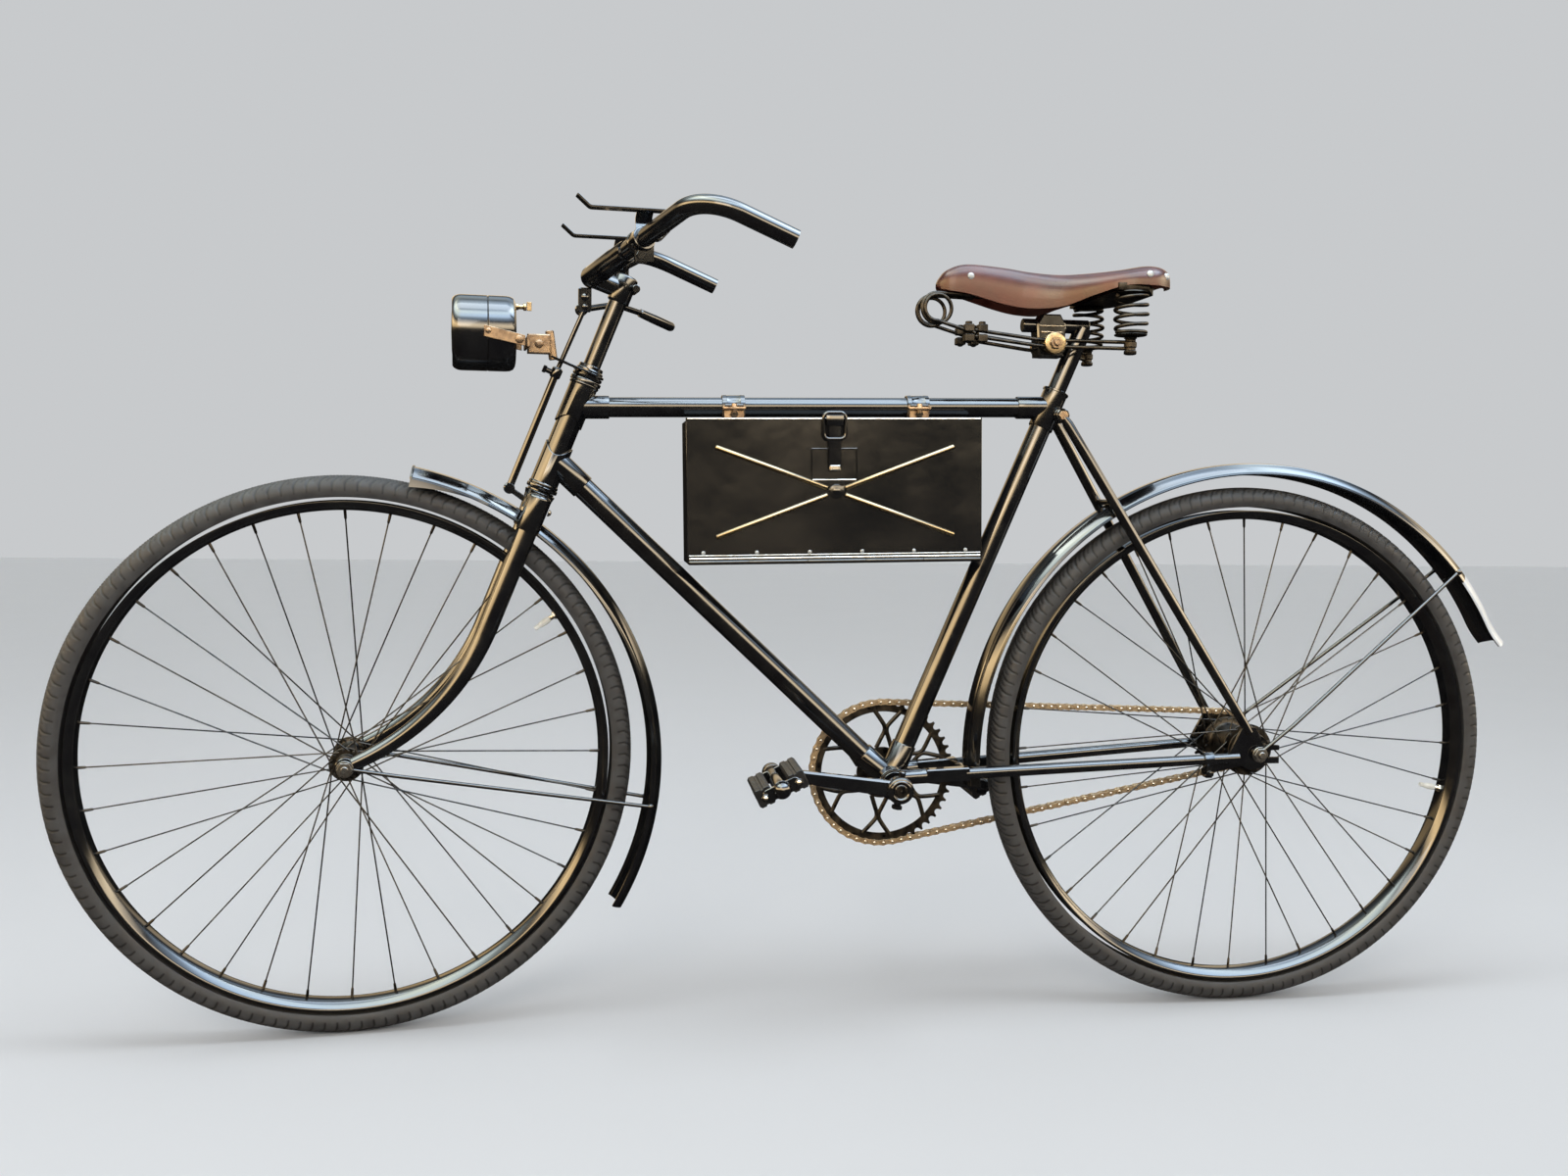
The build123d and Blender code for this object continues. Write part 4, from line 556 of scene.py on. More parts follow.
def refined(node, finish, ease):
    """A copy of a solid's mesh with eased edges, in the place of its node."""
    mesh = frame["nodes"][node].data.copy()
    mesh.materials.clear()
    if "custom_normal" in mesh.attributes:
        mesh.attributes.remove(mesh.attributes["custom_normal"])
    work = bmesh.new()
    work.from_mesh(mesh)
    bmesh.ops.remove_doubles(work, verts=work.verts, dist=0.00001)
    bmesh.ops.dissolve_limit(work, angle_limit=radians(1.0), verts=work.verts, edges=work.edges)
    corners = []
    for edge in work.edges:
        if len(edge.link_faces) == 2 and edge.calc_face_angle(0.0) > radians(EASED_ANGLE):
            narrowest = min(face.calc_area() for face in edge.link_faces) / edge.calc_length()
            if narrowest > ease * 0.002:
                corners.append(edge)
    bmesh.ops.bevel(work, geom=corners, offset=ease * 0.001, segments=2, affect="EDGES", clamp_overlap=True,
                    profile=0.5)
    bmesh.ops.remove_doubles(work, verts=work.verts, dist=0.000002)
    work.to_mesh(mesh)
    work.free()
    dress(mesh, node + "_finish", BODY_OF[node], finish, node, 34.0)
    for face in mesh.polygons:
        if face.area > FLAT_FACE_M2:
            face.use_smooth = False


# Wheels
def groove(distance, half_width):
    """1 at the middle of a groove and 0 outside it."""
    return max(0.0, 1.0 - abs(distance) / half_width) ** 0.5


def tread(turn, side):
    """How deep the tyre is cut at a place round it, in pitches, and at a distance from its middle."""
    reach = abs(side)
    phase = turn + (0.5 if side > 0 else 0.0)
    wave = 5.6 + 0.7 * sin(2 * pi * phase)
    deep = groove(reach - wave, 1.2)
    bend = phase + 0.08 * (reach - 6) + 0.10 * sin(pi * (reach - 6) / 10)
    if reach > wave:
        deep = max(deep, groove((bend % 1.0 - 0.5) * TREAD_LENGTH, 1.6))
        if 8 < reach < 15.0:
            deep = max(deep, 0.7 * groove(((bend + 0.5) % 1.0 - 0.5) * TREAD_LENGTH, 1.1))
    elif reach < 4.2:
        deep = max(deep, 0.5 * groove((phase * 4 % 1.0 - 0.5) * 5.8, 0.8))
    return deep


def tyre(body, node, centre):
    """Rounded casing with a cut tread, open to the rim inside it."""
    count = TREAD_PITCHES * TREAD_STEPS
    rings, cuts = [], []
    for k in range(count):
        ring = []
        for step in range(41):
            t = pi / 2 - (2 * step / 40 - 1) * radians(122)
            y = TYRE_HALF_W * cos(t)
            held = max(-TREAD_SIDE, min(TREAD_SIDE, y))
            fade = max(0.0, min(1.0, (sin(t) + 0.12) / 0.16))
            cuts.append(fade * tread(k / TREAD_STEPS, held))
            r = TYRE_MIDDLE_R + (TYRE_R - TYRE_MIDDLE_R) * sin(t) - TREAD_DEPTH * cuts[-1]
            ring.append(on_circle(centre, r, 360 * k / count, y))
        rings.append(ring)
    made = piece(node + "_tread", Form().rings(rings, loop=True), body, "tyre", node, 50)
    # The depth of each cut also sets how dark the painted shade in the grooves is.
    made.data.attributes.new("cut", "FLOAT", "POINT").data.foreach_set("value", cuts)


def rim(body, node, centre):
    """Rolled edges, sloping flanks and a shallow trough on the inside."""
    half = [(RIM_R - 2, 12), (RIM_R - 0.4, 14.8), (RIM_R + 0.9, 15.9), (RIM_R + 0.4, 17.2),
            (RIM_R - 1.5, 17.5), (RIM_R - 4.2, 16.0), (RIM_IN_R + 3.5, 12.4), (RIM_IN_R + 1.0, 10.4),
            (RIM_IN_R, 8.0), (RIM_IN_R - 0.4, 4.0)]
    section = [*and_back(half), (RIM_R - 3, 0)]
    piece(node + "_section", Form().hoop(centre, section, 256), body, "black_enamel", node, 40)


def spokes(body, name, centre, flange_y, flange_r):
    """Crossed three times, with a head in the flange, an elbow and a nipple at the rim."""
    wires, nipples = Form(), Form()
    for k in range(SPOKES):
        side = 1 if k % 2 == 0 else -1
        lean = 1 if (k // 2) % 2 == 0 else -1
        rim_angle = k * 360 / SPOKES
        hole = on_circle(centre, flange_r - 3.0, rim_angle + lean * 60, side * flange_y)
        outwards = LEFT * (side * lean)
        start, head = hole + outwards * 2.9, hole - outwards * 2.4
        end = on_circle(centre, RIM_IN_R + 0.5, rim_angle, side * 2.0)
        wires.tube([head, hole, start, towards(start, end, 2.2), end], [1.0, 1.0, 1.0, 0.95, 0.95], 8)
        wires.rod(head - outwards * 0.9, head, 1.9, 0.3, 8)
        tip = towards(end, start, 1.0)
        nipples.tube([tip, towards(tip, start, 10), towards(tip, start, 12)], [1.9, 1.7, 1.0], 8)
    piece(name + "_spokes", wires, body, "spoke_steel")
    piece(name + "_nipples", nipples, body, "dark_steel")


def valve(body, name, centre, angle):
    inner = on_circle(centre, RIM_IN_R + 2, angle)
    axis = centre - inner
    stem = Form().lathe(inner, axis, [(0, 3.4), (9, 3.4), (9.5, 2.8), (31, 2.6)], 20)
    piece(name + "_valve", stem.lathe(inner, axis, [(2, 5.6), (4.6, 5.6)], 6, 0.5), body, "bare_steel")
    rows = [(10, 3.4), (13, 4.2), (17, 4.4), (24, 4.0), (26, 3.2), (33, 3.0)]
    piece(name + "_valve_cap", Form().lathe(inner, axis, rows, 20), body, "pale_plastic")


def pitch_radius(teeth):
    return PITCH / (2 * sin(pi / teeth))


def toothed_ring(teeth, inner_r, centre, phase):
    """A toothed disc with a round hole: round seats for the rollers, narrow tips and eased edges."""
    pitch_r = pitch_radius(teeth)
    outer = []
    for k in range(teeth):
        seat = 2 * pi * k / teeth
        for a in (radians(turn) for turn in (-68, -34, 0, 34, 68)):
            x, y = pitch_r - ROLLER_R * cos(a), ROLLER_R * sin(a)
            outer.append((x * cos(seat) - y * sin(seat), x * sin(seat) + y * cos(seat)))
        for share in (0.40, 0.60):
            a = seat + 2 * pi * share / teeth
            outer.append(((pitch_r + 2.4) * cos(a), (pitch_r + 2.4) * sin(a)))
    inner = [(inner_r * cos(atan2(y, x)), inner_r * sin(atan2(y, x))) for x, y in outer]
    wide = [(x * 1.004, y * 1.004) for x, y in inner]
    slim, half = inset(outer, 0.35), TOOTHED_T / 2
    rows = both_ways([(half - 0.5, inner), (half, wide), (half, slim), (half - 0.7, outer)])
    turn = Matrix.Rotation(-radians(phase), 3, "Y")
    rings = [[centre + turn @ Vector((x, y, z)) for x, z in points] for y, points in rows]
    return Form().rings(rings, loop=True)


def hubs():
    half = [(12, 12.2), (24, 12.9), (29, 15.5), (29.4, 21), (32.8, 21), (33, 13), (39.5, 12), (40, 9.5),
            (47.2, 9.5)]
    form = Form().lathe(FRONT_AXLE, LEFT, both_ways(half))
    form.lathe(FRONT_AXLE, LEFT, [(-3, 13.2), (3, 13.2)], 32)
    piece("front_hub_shell", form, "front_wheel", "dark_steel", "front_hub")
    spokes("front_wheel", "front", FRONT_AXLE, 31.0, 21.0)
    rows = [(-56.7, 11), (-51, 12), (-50, 16), (-44, 22), (-32, 24), (-31, 35), (-27, 35), (-26.5, 27),
            (-22, 25), (20, 25), (26, 27), (27, 35), (31, 35), (31.5, 27), (40, 26), (43.8, 24)]
    piece("rear_hub_shell", Form().lathe(REAR_AXLE, LEFT, rows, 56), "rear_wheel", "dark_steel", "rear_hub")
    cog = toothed_ring(SPROCKET_TEETH, 22.0, REAR_AXLE + LEFT * CHAIN_LINE, 0.0)
    piece("sprocket", cog, "rear_wheel", "dark_steel")
    spokes("rear_wheel", "rear", REAR_AXLE, 29.0, 35.0)


def wheels():
    for name, centre, valve_angle in (("front", FRONT_AXLE, 145.0), ("rear", REAR_AXLE, 192.0)):
        body = name + "_wheel"
        tyre(body, name + "_tyre", centre)
        rim(body, name + "_rim", centre)
        valve(body, name, centre, valve_angle)
    hubs()


# Frame tubes and lugs
def main_tubes():
    tubes = (("top_tube", TUBE_SEAT, TUBE_HEAD, TOP_TUBE_R), ("down_tube", BRACKET, DOWN_HEAD, MAIN_TUBE_R),
             ("seat_tube", BRACKET, TUBE_SEAT, MAIN_TUBE_R))
    for name, start, end, radius in tubes:
        form = Form().tube([towards(start, end, 10), towards(end, start, 10)], radius, 64)
        piece(name + "_steel", form, "frame", "black_enamel", name)


def head_lugs():
    form = Form().tube([head_point(HEAD_LOW + 4), head_point(HEAD_TOP - 4)], HEAD_TUBE_R, 64)
    form.sleeve(head_point(HEAD_LOW), head_point(HEAD_LOW + 54), HEAD_TUBE_R + LUG_WALL, 14)
    form.sleeve(head_point(HEAD_TOP), head_point(HEAD_TOP - 54), HEAD_TUBE_R + LUG_WALL, 12)
    form.sleeve(TUBE_HEAD, towards(TUBE_HEAD, TUBE_SEAT, 43), TOP_TUBE_R + LUG_WALL)
    form.sleeve(DOWN_HEAD, towards(DOWN_HEAD, BRACKET, 51), MAIN_TUBE_R + LUG_WALL)
    for at, direction in ((HEAD_TOP, AXIS_UP), (HEAD_LOW, -AXIS_UP)):
        rows = [(-2, 17.0), (0, 19.0), (2.2, 19.2), (2.6, 18.4), (3.4, 18.4), (3.8, 20.0), (8.0, 20.0),
                (8.9, 18.5)]
        form.lathe(head_point(at), direction, rows, 56)
    piece("head_lugs", form, "frame", "black_enamel", "head_tube")


def bracket_shell():
    start, end = CHAIN_STAY
    form = Form().sleeve(start, towards(start, end, 38), STAY_R + LUG_WALL).mirrored()
    form.lathe(BRACKET, LEFT, both_ways([(34, 21), (34.4, 18), (38, 17.5)]), 56)
    for up_tube in (TUBE_SEAT, DOWN_HEAD):
        form.sleeve(BRACKET, towards(BRACKET, up_tube, 52), MAIN_TUBE_R + LUG_WALL)
    piece("bracket_lugs", form, "frame", "black_enamel", "bracket_shell")
    rings = Form().lathe(BRACKET + LEFT * 34.2, LEFT, [(0, 19.6), (1.6, 19.6)], 24)
    piece("bracket_rings", rings.mirrored(), "frame", "dark_steel")


def stays():
    start, end = CHAIN_STAY
    a, b = towards(start, end, 38), towards(start, end, 95)
    along = (b - a).normalized()
    flank = (LEFT - along * LEFT.dot(along)).normalized()
    lower = Form().box((a + b) / 2, along, flank, ((b - a).length, 15, 18), 1.5)
    lower.tube([towards(b, a, 4), towards(end, start, 28), end], [STAY_R, STAY_R - 1.3, STAY_R - 1.6], 36)
    piece("chain_stay_tubes", lower.mirrored(), "frame", "black_enamel", "chain_stays")
    start, end = SEAT_STAY
    path = [*(towards(start, end, distance) for distance in (2, 14, 60)), towards(end, start, 16), end]
    radii = [5.0, SEAT_STAY_R, SEAT_STAY_R, SEAT_STAY_R - 1, SEAT_STAY_R - 2]
    upper = Form().tube(path, radii, 32).lathe(start - LEFT * 4.4, LEFT, [(0, 9), (6.2, 9)], 32, 1.0)
    piece("seat_stay_tubes", upper.mirrored(), "frame", "black_enamel", "seat_stays")
    bridges = Form()
    for (start, end), level in ((SEAT_STAY, 688.8), (CHAIN_STAY, 329.4)):
        at = start.lerp(end, (level - start.z) / (end.z - start.z))
        bridges.rod(other_side(at), at, 4.0, 0.3, 20)
    piece("stay_bridge_rods", bridges, "frame", "black_enamel", "stay_bridges")
    bolt = Form().prism(SEAT_BOLT + LEFT * 22.2, LEFT, 6.6, 4.0).mirrored()
    bolt.rod(SEAT_BOLT - LEFT * 22.5, SEAT_BOLT + LEFT * 22.5, 4.0)
    piece("seat_bolt", bolt, "frame", "tan_steel")


def seat_lug_and_pillar():
    form = Form().sleeve(TUBE_SEAT + SEAT_UP * 22, TUBE_SEAT - SEAT_UP * 30, MAIN_TUBE_R + LUG_WALL)
    form.sleeve(TUBE_SEAT, towards(TUBE_SEAT, TUBE_HEAD, 45), TOP_TUBE_R + LUG_WALL)
    form.lathe(SEAT_BOLT, LEFT, [(-16, 10), (16, 10)], 32)
    form.lathe(TUBE_SEAT + SEAT_UP * 21, SEAT_UP, [(0, 17.6), (3, 17.6)])
    piece("seat_lug_steel", form, "frame", "black_enamel", "seat_lug")
    knee = level_on(BRACKET, SEAT_UP, PILLAR_TOP_Z)
    form = Form().tube([TUBE_SEAT + SEAT_UP * 15, knee - SEAT_UP * 3], POST_R, 48)
    form.rod(knee - AHEAD * 6, Vector((321, 0, PILLAR_TOP_Z)), 9.0, 1.0, 36)
    piece("pillar_steel", form, "frame", "black_enamel", "seat_pillar")


# Guards
def guard_section(radius, wall=1.2):
    """Outer and inner line of a guard: rolled edges, rounded flanks and a shallow middle rib."""
    outer = [(radius - drop, y) for drop, y in ((15.0, 24.5), (12.8, 24.2), (10.6, 22.8), (3.8, 15.2),
                                                (2.9, 13.6), (1.3, 11.8), (0.6, 8.0), (0.1, 4.0))]
    outer = [*outer, (radius, 0.0), *((r, -y) for r, y in reversed(outer))]
    return outer + [(r - wall, y * 0.95) for r, y in reversed(outer)]


def guard(name, body, centre, radius, ends):
    start, end = ends
    steps = int(160 * (end - start) / 180)
    angles = (start + (end - start) * k / steps for k in range(steps + 1))
    edge = [on_circle(centre, radius - 14.6, angle, 24.0) for angle in angles]
    form = Form().tube(edge, 1.5, 8).mirrored().hoop(centre, guard_section(radius), 320, start, end)
    piece(name + "_sheet", form, body, "black_enamel", name, 30)


def guard_stays(name, node, body, axle, face_y, centre, radius, angle):
    start = axle + LEFT * (face_y + 2.6)
    end = on_circle(centre, radius - 13, angle, 26.4)
    level = Vector((end.x, start.y, end.z))
    path = rounded([towards(start, level, 7), towards(start, level, 60), end], [60.0])
    form = Form().tube(path, 2.5, 16).lathe(axle + LEFT * face_y, LEFT, [(0, 9), (5.2, 9)], 32, 0.8)
    form.dome(end + LEFT * 1.6, LEFT, 4.0, 2.4)
    piece(name, form.mirrored(), body, "black_enamel", node)


def guard_tail():
    """White end of the rear guard, black inside, its last few degrees flared outwards."""
    outside, inside = [], []
    for k in range(33):
        angle = REAR_GUARD_ENDS[1] + TAIL_TURN * k / 32
        radius = TAIL_R + 7.0 * max(0.0, (angle - 152.0) / 5.5) ** 2
        outside.append([on_circle(REAR_GUARD, r, angle, y) for r, y in guard_section(radius)])
        lining = guard_section(radius, 0.5)
        inside.append([on_circle(REAR_GUARD, r - 1.35, angle, y * 0.94) for r, y in lining])
    piece("rear_guard_end", Form().rings(outside), "frame", "white_paint", "rear_guard_tail", 30)
    piece("rear_guard_lining", Form().rings(inside), "frame", "black_enamel", None, 30)


def guard_tip():
    """Side plates that deepen the front guard towards its front end, and a lip across it."""
    high, edge = FRONT_GUARD_R - 12.6, FRONT_GUARD_R - 14.6
    rings = []
    for k in range(15):
        share = 1 - k / 14
        low, wide = FRONT_GUARD_R - 15.0 - 10.0 * share ** 1.5, 24.6 + 2.4 * share
        ring = [(high, 24.8), (edge, 25.4), (low, wide + 0.8), (low, wide - 0.4), (high, 23.8)]
        rings.append([on_circle(FRONT_GUARD, r, 101.4 + 15.0 * k / 14, y) for r, y in ring])
    outer_line = guard_section(FRONT_GUARD_R)[:17]
    lip = [on_circle(FRONT_GUARD, r, FRONT_GUARD_ENDS[0], y) for r, y in outer_line]
    form = Form().rings(rings).mirrored().tube(lip, 1.6, 10)
    piece("front_guard_tip", form, "fork", "black_enamel")


def guards():
    guard("front_guard", "fork", FRONT_GUARD, FRONT_GUARD_R, FRONT_GUARD_ENDS)
    guard("rear_guard", "frame", REAR_GUARD, REAR_GUARD_R, REAR_GUARD_ENDS)
    guard_tail()
    guard_tip()
    guard_stays("front_stay_wires", "front_guard_stays", "fork", FRONT_AXLE, 52.5, FRONT_GUARD,
                FRONT_GUARD_R, 188.5)
    guard_stays("rear_stay_wires", "rear_guard_stays", "frame", REAR_AXLE, 62.0, REAR_GUARD,
                REAR_GUARD_R, 139.0)


# Fork
def fork():
    top, end = head_point(CROWN_TOP - 8, 0, FORK_TOP_Y), FRONT_AXLE + LEFT * 50
    corner = head_point(FORK_RAKE / tan(radians(BLADE_BEND_TURN)), 0, FORK_TOP_Y + 6.03)
    path = rounded([top, corner, end], [BLADE_BEND_R], BLADE_STEPS)[:-1]
    path += [path[-1].lerp(end, 0.5), towards(end, path[-1], 9)]
    radii = [13.0, 12.4, *(12.2 - 3.2 * (k + 1) / BLADE_STEPS for k in range(BLADE_STEPS)), 8.6, 7.4]
    form = Form().tube(path, radii, 40).lathe(end - LEFT * 2.4, LEFT, [(0, 12.5), (4.8, 12.5)], 40, 0.6)
    piece("fork_blade_tubes", form.mirrored(), "fork", "black_enamel", "fork_blades")
    rows = [(0, 14.0), (0.6, 14.6), (43.4, 14.6), (45.2, 13.9), (47.0, 11.8), (48.2, 8.4), (48.7, 4.0),
            (48.8, 0.1)]
    crown = Form().lathe(head_point(BLADE_SOCKET_LOW, 0, FORK_TOP_Y), AXIS_UP, rows).mirrored()
    turns = [2 * pi * k / 32 for k in range(32)]
    outline = [(13.5 * cos(a), 14 * sin(a) + (FORK_TOP_Y if sin(a) > 0 else -FORK_TOP_Y)) for a in turns]
    height = CROWN_TOP - 8 - CROWN_LOW
    crown.slab(outline, head_point(CROWN_LOW + height / 2), AXIS_AHEAD, LEFT, height, 1.5)
    collar = (-4, 18), (0, 19), (2.4, 19.6), (3, 17), (5.2, 17)
    rows = [(CROWN_LOW, 17), *((CROWN_TOP + up, r) for up, r in collar)]
    crown.lathe(AXIS_FOOT, AXIS_UP, rows)
    piece("crown_steel", crown, "fork", "black_enamel", "fork_crown")
    nut = Form().dome(head_point(CROWN_LOW + 4, -19), -AXIS_AHEAD, 4.5, 4)
    piece("crown_bolt", nut, "fork", "bare_steel")


def steering_parts():
    low = HEAD_TOP + 9.3
    rows = [(HEAD_LOW - 9.3, 12.7)]
    for up, r in ((0, 12.7), (0.1, 17.5), (1.5, 19.3), (4.4, 19.3), (5.0, 16.2), (8.5, 16.2), (8.7, 17.6),
                  (11.5, 17.6), (12, 16.0), (17.0, 15.6), (17.6, 12.0)):
        rows.append((low + up, r))
    piece("steerer_steel", Form().lathe(AXIS_FOOT, AXIS_UP, rows, 56), "fork", "black_enamel", "steerer")
    path = [BAR_MIDDLE - LEFT * 3, *(bar_point(y) for y in (60, 62, 84, 88))]
    form = Form().tube(path, [14, 14, 13.4, 13.4, 12.6], 40).mirrored()
    form.tube([head_point(low + 10), head_point(STEM_TOP - 20)], STEM_R, 48)
    rows = [(STEM_TOP - 36, 12.0), (STEM_TOP - 34, 14.2), (STEM_TOP - 2, 14.2), (STEM_TOP, 11.5)]
    form.lathe(AXIS_FOOT, AXIS_UP, rows, 40, 0.8)
    form.tube([head_point(STEM_TOP - 18), BAR_MIDDLE], [12.4, 12.0], 36)
    form.rod(head_point(STEM_TOP - 12, -14, -17), head_point(STEM_TOP - 12, -14, 17), 5.0, 0.6)
    piece("stem_steel", form, "fork", "black_enamel", "stem")


def handlebar():
    rows = [(30, 0.1), (30, BAR_R - 2), (0.4, BAR_R - 2), (0, BAR_R - 1.4), (0.2, BAR_R - 0.2), (1, BAR_R)]
    form = Form().lathe(BAR_END, BAR_BEND - BAR_END, rows, 40, 0).mirrored()
    corners = [BAR_END, BAR_BEND, BAR_MIDDLE, other_side(BAR_BEND), other_side(BAR_END)]
    form.tube(rounded(corners, [60.0, 30.0, 60.0], 16), BAR_R, 40, caps=False)
    piece("handlebar_tube", form, "fork", "black_enamel", "handlebar")


def bar_rests():
    """A ring on the bar, a bent upright from it and a flat rest whose ends turn up, on each side."""
    at = bar_point(BAR_REST_Y)
    rows = both_ways([(6.4, 13.7), (7.0, 14.4), (9.4, 14.4), (10, 13.0)])
    form = Form().lathe(at, at - BAR_MIDDLE, rows, 40, 0.3)
    corners = [Vector((x, BAR_REST_Y, z)) for x, z in ((912, 1045), (897, 1032), (782, 1032), (771, 1044))]
    path = rounded(corners, [6.0, 6.0], 6)
    rest = []
    for k, p in enumerate(path):
        below = LEFT.cross((path[min(k + 1, len(path) - 1)] - path[max(k - 1, 0)]).normalized())
        if below.z > 0:
            below = -below
        section = and_back([(0, 8.5), (0.5, 9), (2.5, 9), (3, 8.5)])
        rest.append([p + below * down + LEFT * across for down, across in section])
    form.rings(rest)
    rows = [(at.x - 6, -7.5, 1030), (at.x - 4, -5.0, 1021), (at.x - 4, 0.5, 1008), (at.x - 5, 4.4, at.z - 2),
            (at.x - 5, 4.6, at.z - 24)]
    upright = []
    for x, shift, z in spline(rows, 5):
        p = Vector((x, BAR_REST_Y + shift, z))
        section = ((10, 1.5), (-10, 1.5), (-10, -1.5), (10, -1.5))
        upright.append([p + AHEAD * ahead + LEFT * across for ahead, across in section])
    form.rings(upright).slab([(-9, 0), (9, 0), (7, -26), (-7, -26)], at, AHEAD, UP, 8, 0.8)
    form.prism(at + Vector((0, 4, -17)), LEFT, 6, 4)
    piece("bar_rest_strips", form.mirrored(), "fork", "black_enamel", "bar_rests")


def brake_parts():
    places = (896, -12, 924), (846, -75, 938), (806, -120, 932), (757, -160, 918)
    pivot, knee, bend, end = (Vector(p) for p in places)
    form = Form().tube(rounded([pivot, knee, bend], [40.0]), 4.0, 20)
    grip = towards(bend, knee, 4)
    path = [grip, *(towards(grip, end, d) for d in (1.5, 30)), *(towards(end, grip, d) for d in (4, 1)), end]
    form.tube(path, [4.5, 5.6, 6.4, 6.6, 5.6, 3.0], 24)
    form.lathe(pivot + LEFT * 6, -LEFT, [(0, 8), (12, 8)], 28, 0.8)
    piece("brake_lever_steel", form, "fork", "black_enamel", "brake_lever")
    top, collar, low = Vector((893, 0, 925)), Vector((929, 0, 842)), Vector((987, 0, 697))
    form = Form().rod(top, collar, 3.0).rod(collar, low, 4.6)
    form.lathe(towards(collar, top, 8), collar - top, [(0, 5), (2, 7), (12, 7), (14, 5.2)], 28)
    form.rod(collar + Vector((-4, 0, -2)), collar + Vector((15, 0, 6)), 3.4)
    form.prism(collar + Vector((12, 0, 4.6)), Vector((19, 0, 8)), 5.2, 4.5)
    form.lathe(low - LEFT * 7, LEFT, [(0, 7), (14, 7)], 28, 1.0)
    reach = head_point(CROWN_TOP - 14, 10) - low
    form.box(low + reach / 2, reach.normalized(), LEFT, (reach.length, 9, 7), 1.0)
    form.box(Vector((893, 0, 935)), AHEAD, LEFT, (16, 10, 30), 1.5)
    form.dome(Vector((893, 5, 938)), LEFT, 5, 3.5).dome(Vector((893, 5, 926)), LEFT, 4, 3)
    piece("brake_rod_steel", form, "fork", "black_enamel", "brake_rod")


# Lamp
def lamp():
    r = LAMP_R
    rows = [(0, r - 10), (0.8, r - 6), (3, r - 2.4), (7, r - 0.6), (12, r), (33, r), (34, r - 0.9), (35, r),
            (66, r), (70, r - 0.5), (73, r - 1.7), (75.4, r - 3.4), (76.8, r - 5.4), (76.8, r - 6.6),
            (75.6, r - 7.2), (62, r - 10.4), (50, r - 18), (43, r - 28), (40, 9), (34, 8.5), (34, 0.1)]
    piece("lamp_drum", Form().lathe(LAMP, AHEAD, rows, 96, 0), "fork", "black_enamel", "lamp_shell", 24)
    rows = [(74, r - 7.8), (62, r - 11.0), (50, r - 18.6), (43.5, r - 28), (41, 9.5), (40.6, 6)]
    dish = Form().lathe(LAMP, AHEAD, rows, 96, 0)
    dish.faces = dish.faces[:-2]
    piece("lamp_reflector", dish, "fork", "reflector")
    rows = [(72.6, 0.1), (72.6, r - 6), (74.6, r - 6), (76.2, r - 12), (77.4, r - 24), (77.9, 0.1)]
    piece("lamp_glass", Form().lathe(LAMP, AHEAD, rows, 96, 0), "fork", "glass", "lamp_lens", 20)
    rows = [(33, 5.5), (42, 5.5), (43, 4), (46, 6.5), (50, 8), (54, 6.8), (57, 2.4), (57.4, 0.1)]
    piece("lamp_bulb_glass", Form().lathe(LAMP, AHEAD, rows, 32, 0), "fork", "bulb_glass", "lamp_bulb")
    lamp_bracket()
    post = Form().lathe(LAMP + Vector((-0.5, 0, 34)), -AHEAD,
                        [(0, 4.2), (3, 4.2), (3.5, 3), (9, 3), (9.5, 4.6), (13, 4.6)], 20)
    post.box(LAMP + Vector((-17, 0, 35)), AHEAD, UP, (6, 11, 2), 0.5)
    piece("lamp_terminal", post, "fork", "brass")


def lamp_bracket():
    """Two arms along the drum, a cross piece, a knuckle with its bolt, and the plate from the head."""
    outline = [(39, 7), (39, -7), (-10, -17), (-10, -4)]
    form = Form().slab(outline, LAMP + LEFT * (LAMP_R + 1.8), AHEAD, UP, 3.0, 0.5)
    for x, z, radius in ((34, 0, 3.5), (-3, -9, 5.2)):
        form.dome(LAMP + Vector((x, LAMP_R + 3.3, z)), LEFT, radius, 2.0)
    form.mirrored().box(LAMP + Vector((-13.8, 0, -10.5)), LEFT, UP, (2 * LAMP_R + 6, 13, 3.2), 0.6)
    knuckle = LAMP + Vector((-28, 14, -12))
    form.box(knuckle, AHEAD, UP, (28, 24, 18), 1.5).dome(knuckle + LEFT * 9, LEFT, 5.5, 2.5)
    form.rod(LAMP + Vector((-46, 14, -31)), LAMP + Vector((-41, 14, 5)), 5.4, 1.0)
    piece("lamp_bracket_steel", form, "fork", "tan_steel", "lamp_bracket")
    cone = HEAD_TOP + 15.3
    plate = Form().lathe(head_point(cone), AXIS_UP, [(0, 20), (2.5, 20)])
    plate.slab([(0, 7), (52, 7), (52, 21), (0, 21)], head_point(cone + 1.25), AXIS_AHEAD, LEFT, 2.5, 0.5)
    piece("lamp_plate", plate, "fork", "black_enamel")


# Saddle
def saddle_line(half, crown, skirt, inset_by=0.0):
    """An arch across the saddle as (y, z) points, from the left skirt to the right."""
    points = []
    for k in range(49):
        c, s = cos(pi * k / 48), sin(pi * k / 48)
        y = (half - inset_by) * (1 if c > 0 else -1) * abs(c) ** SECTION_POWER
        points.append((y, skirt + (crown - inset_by - skirt) * abs(s) ** SECTION_POWER))
    return points


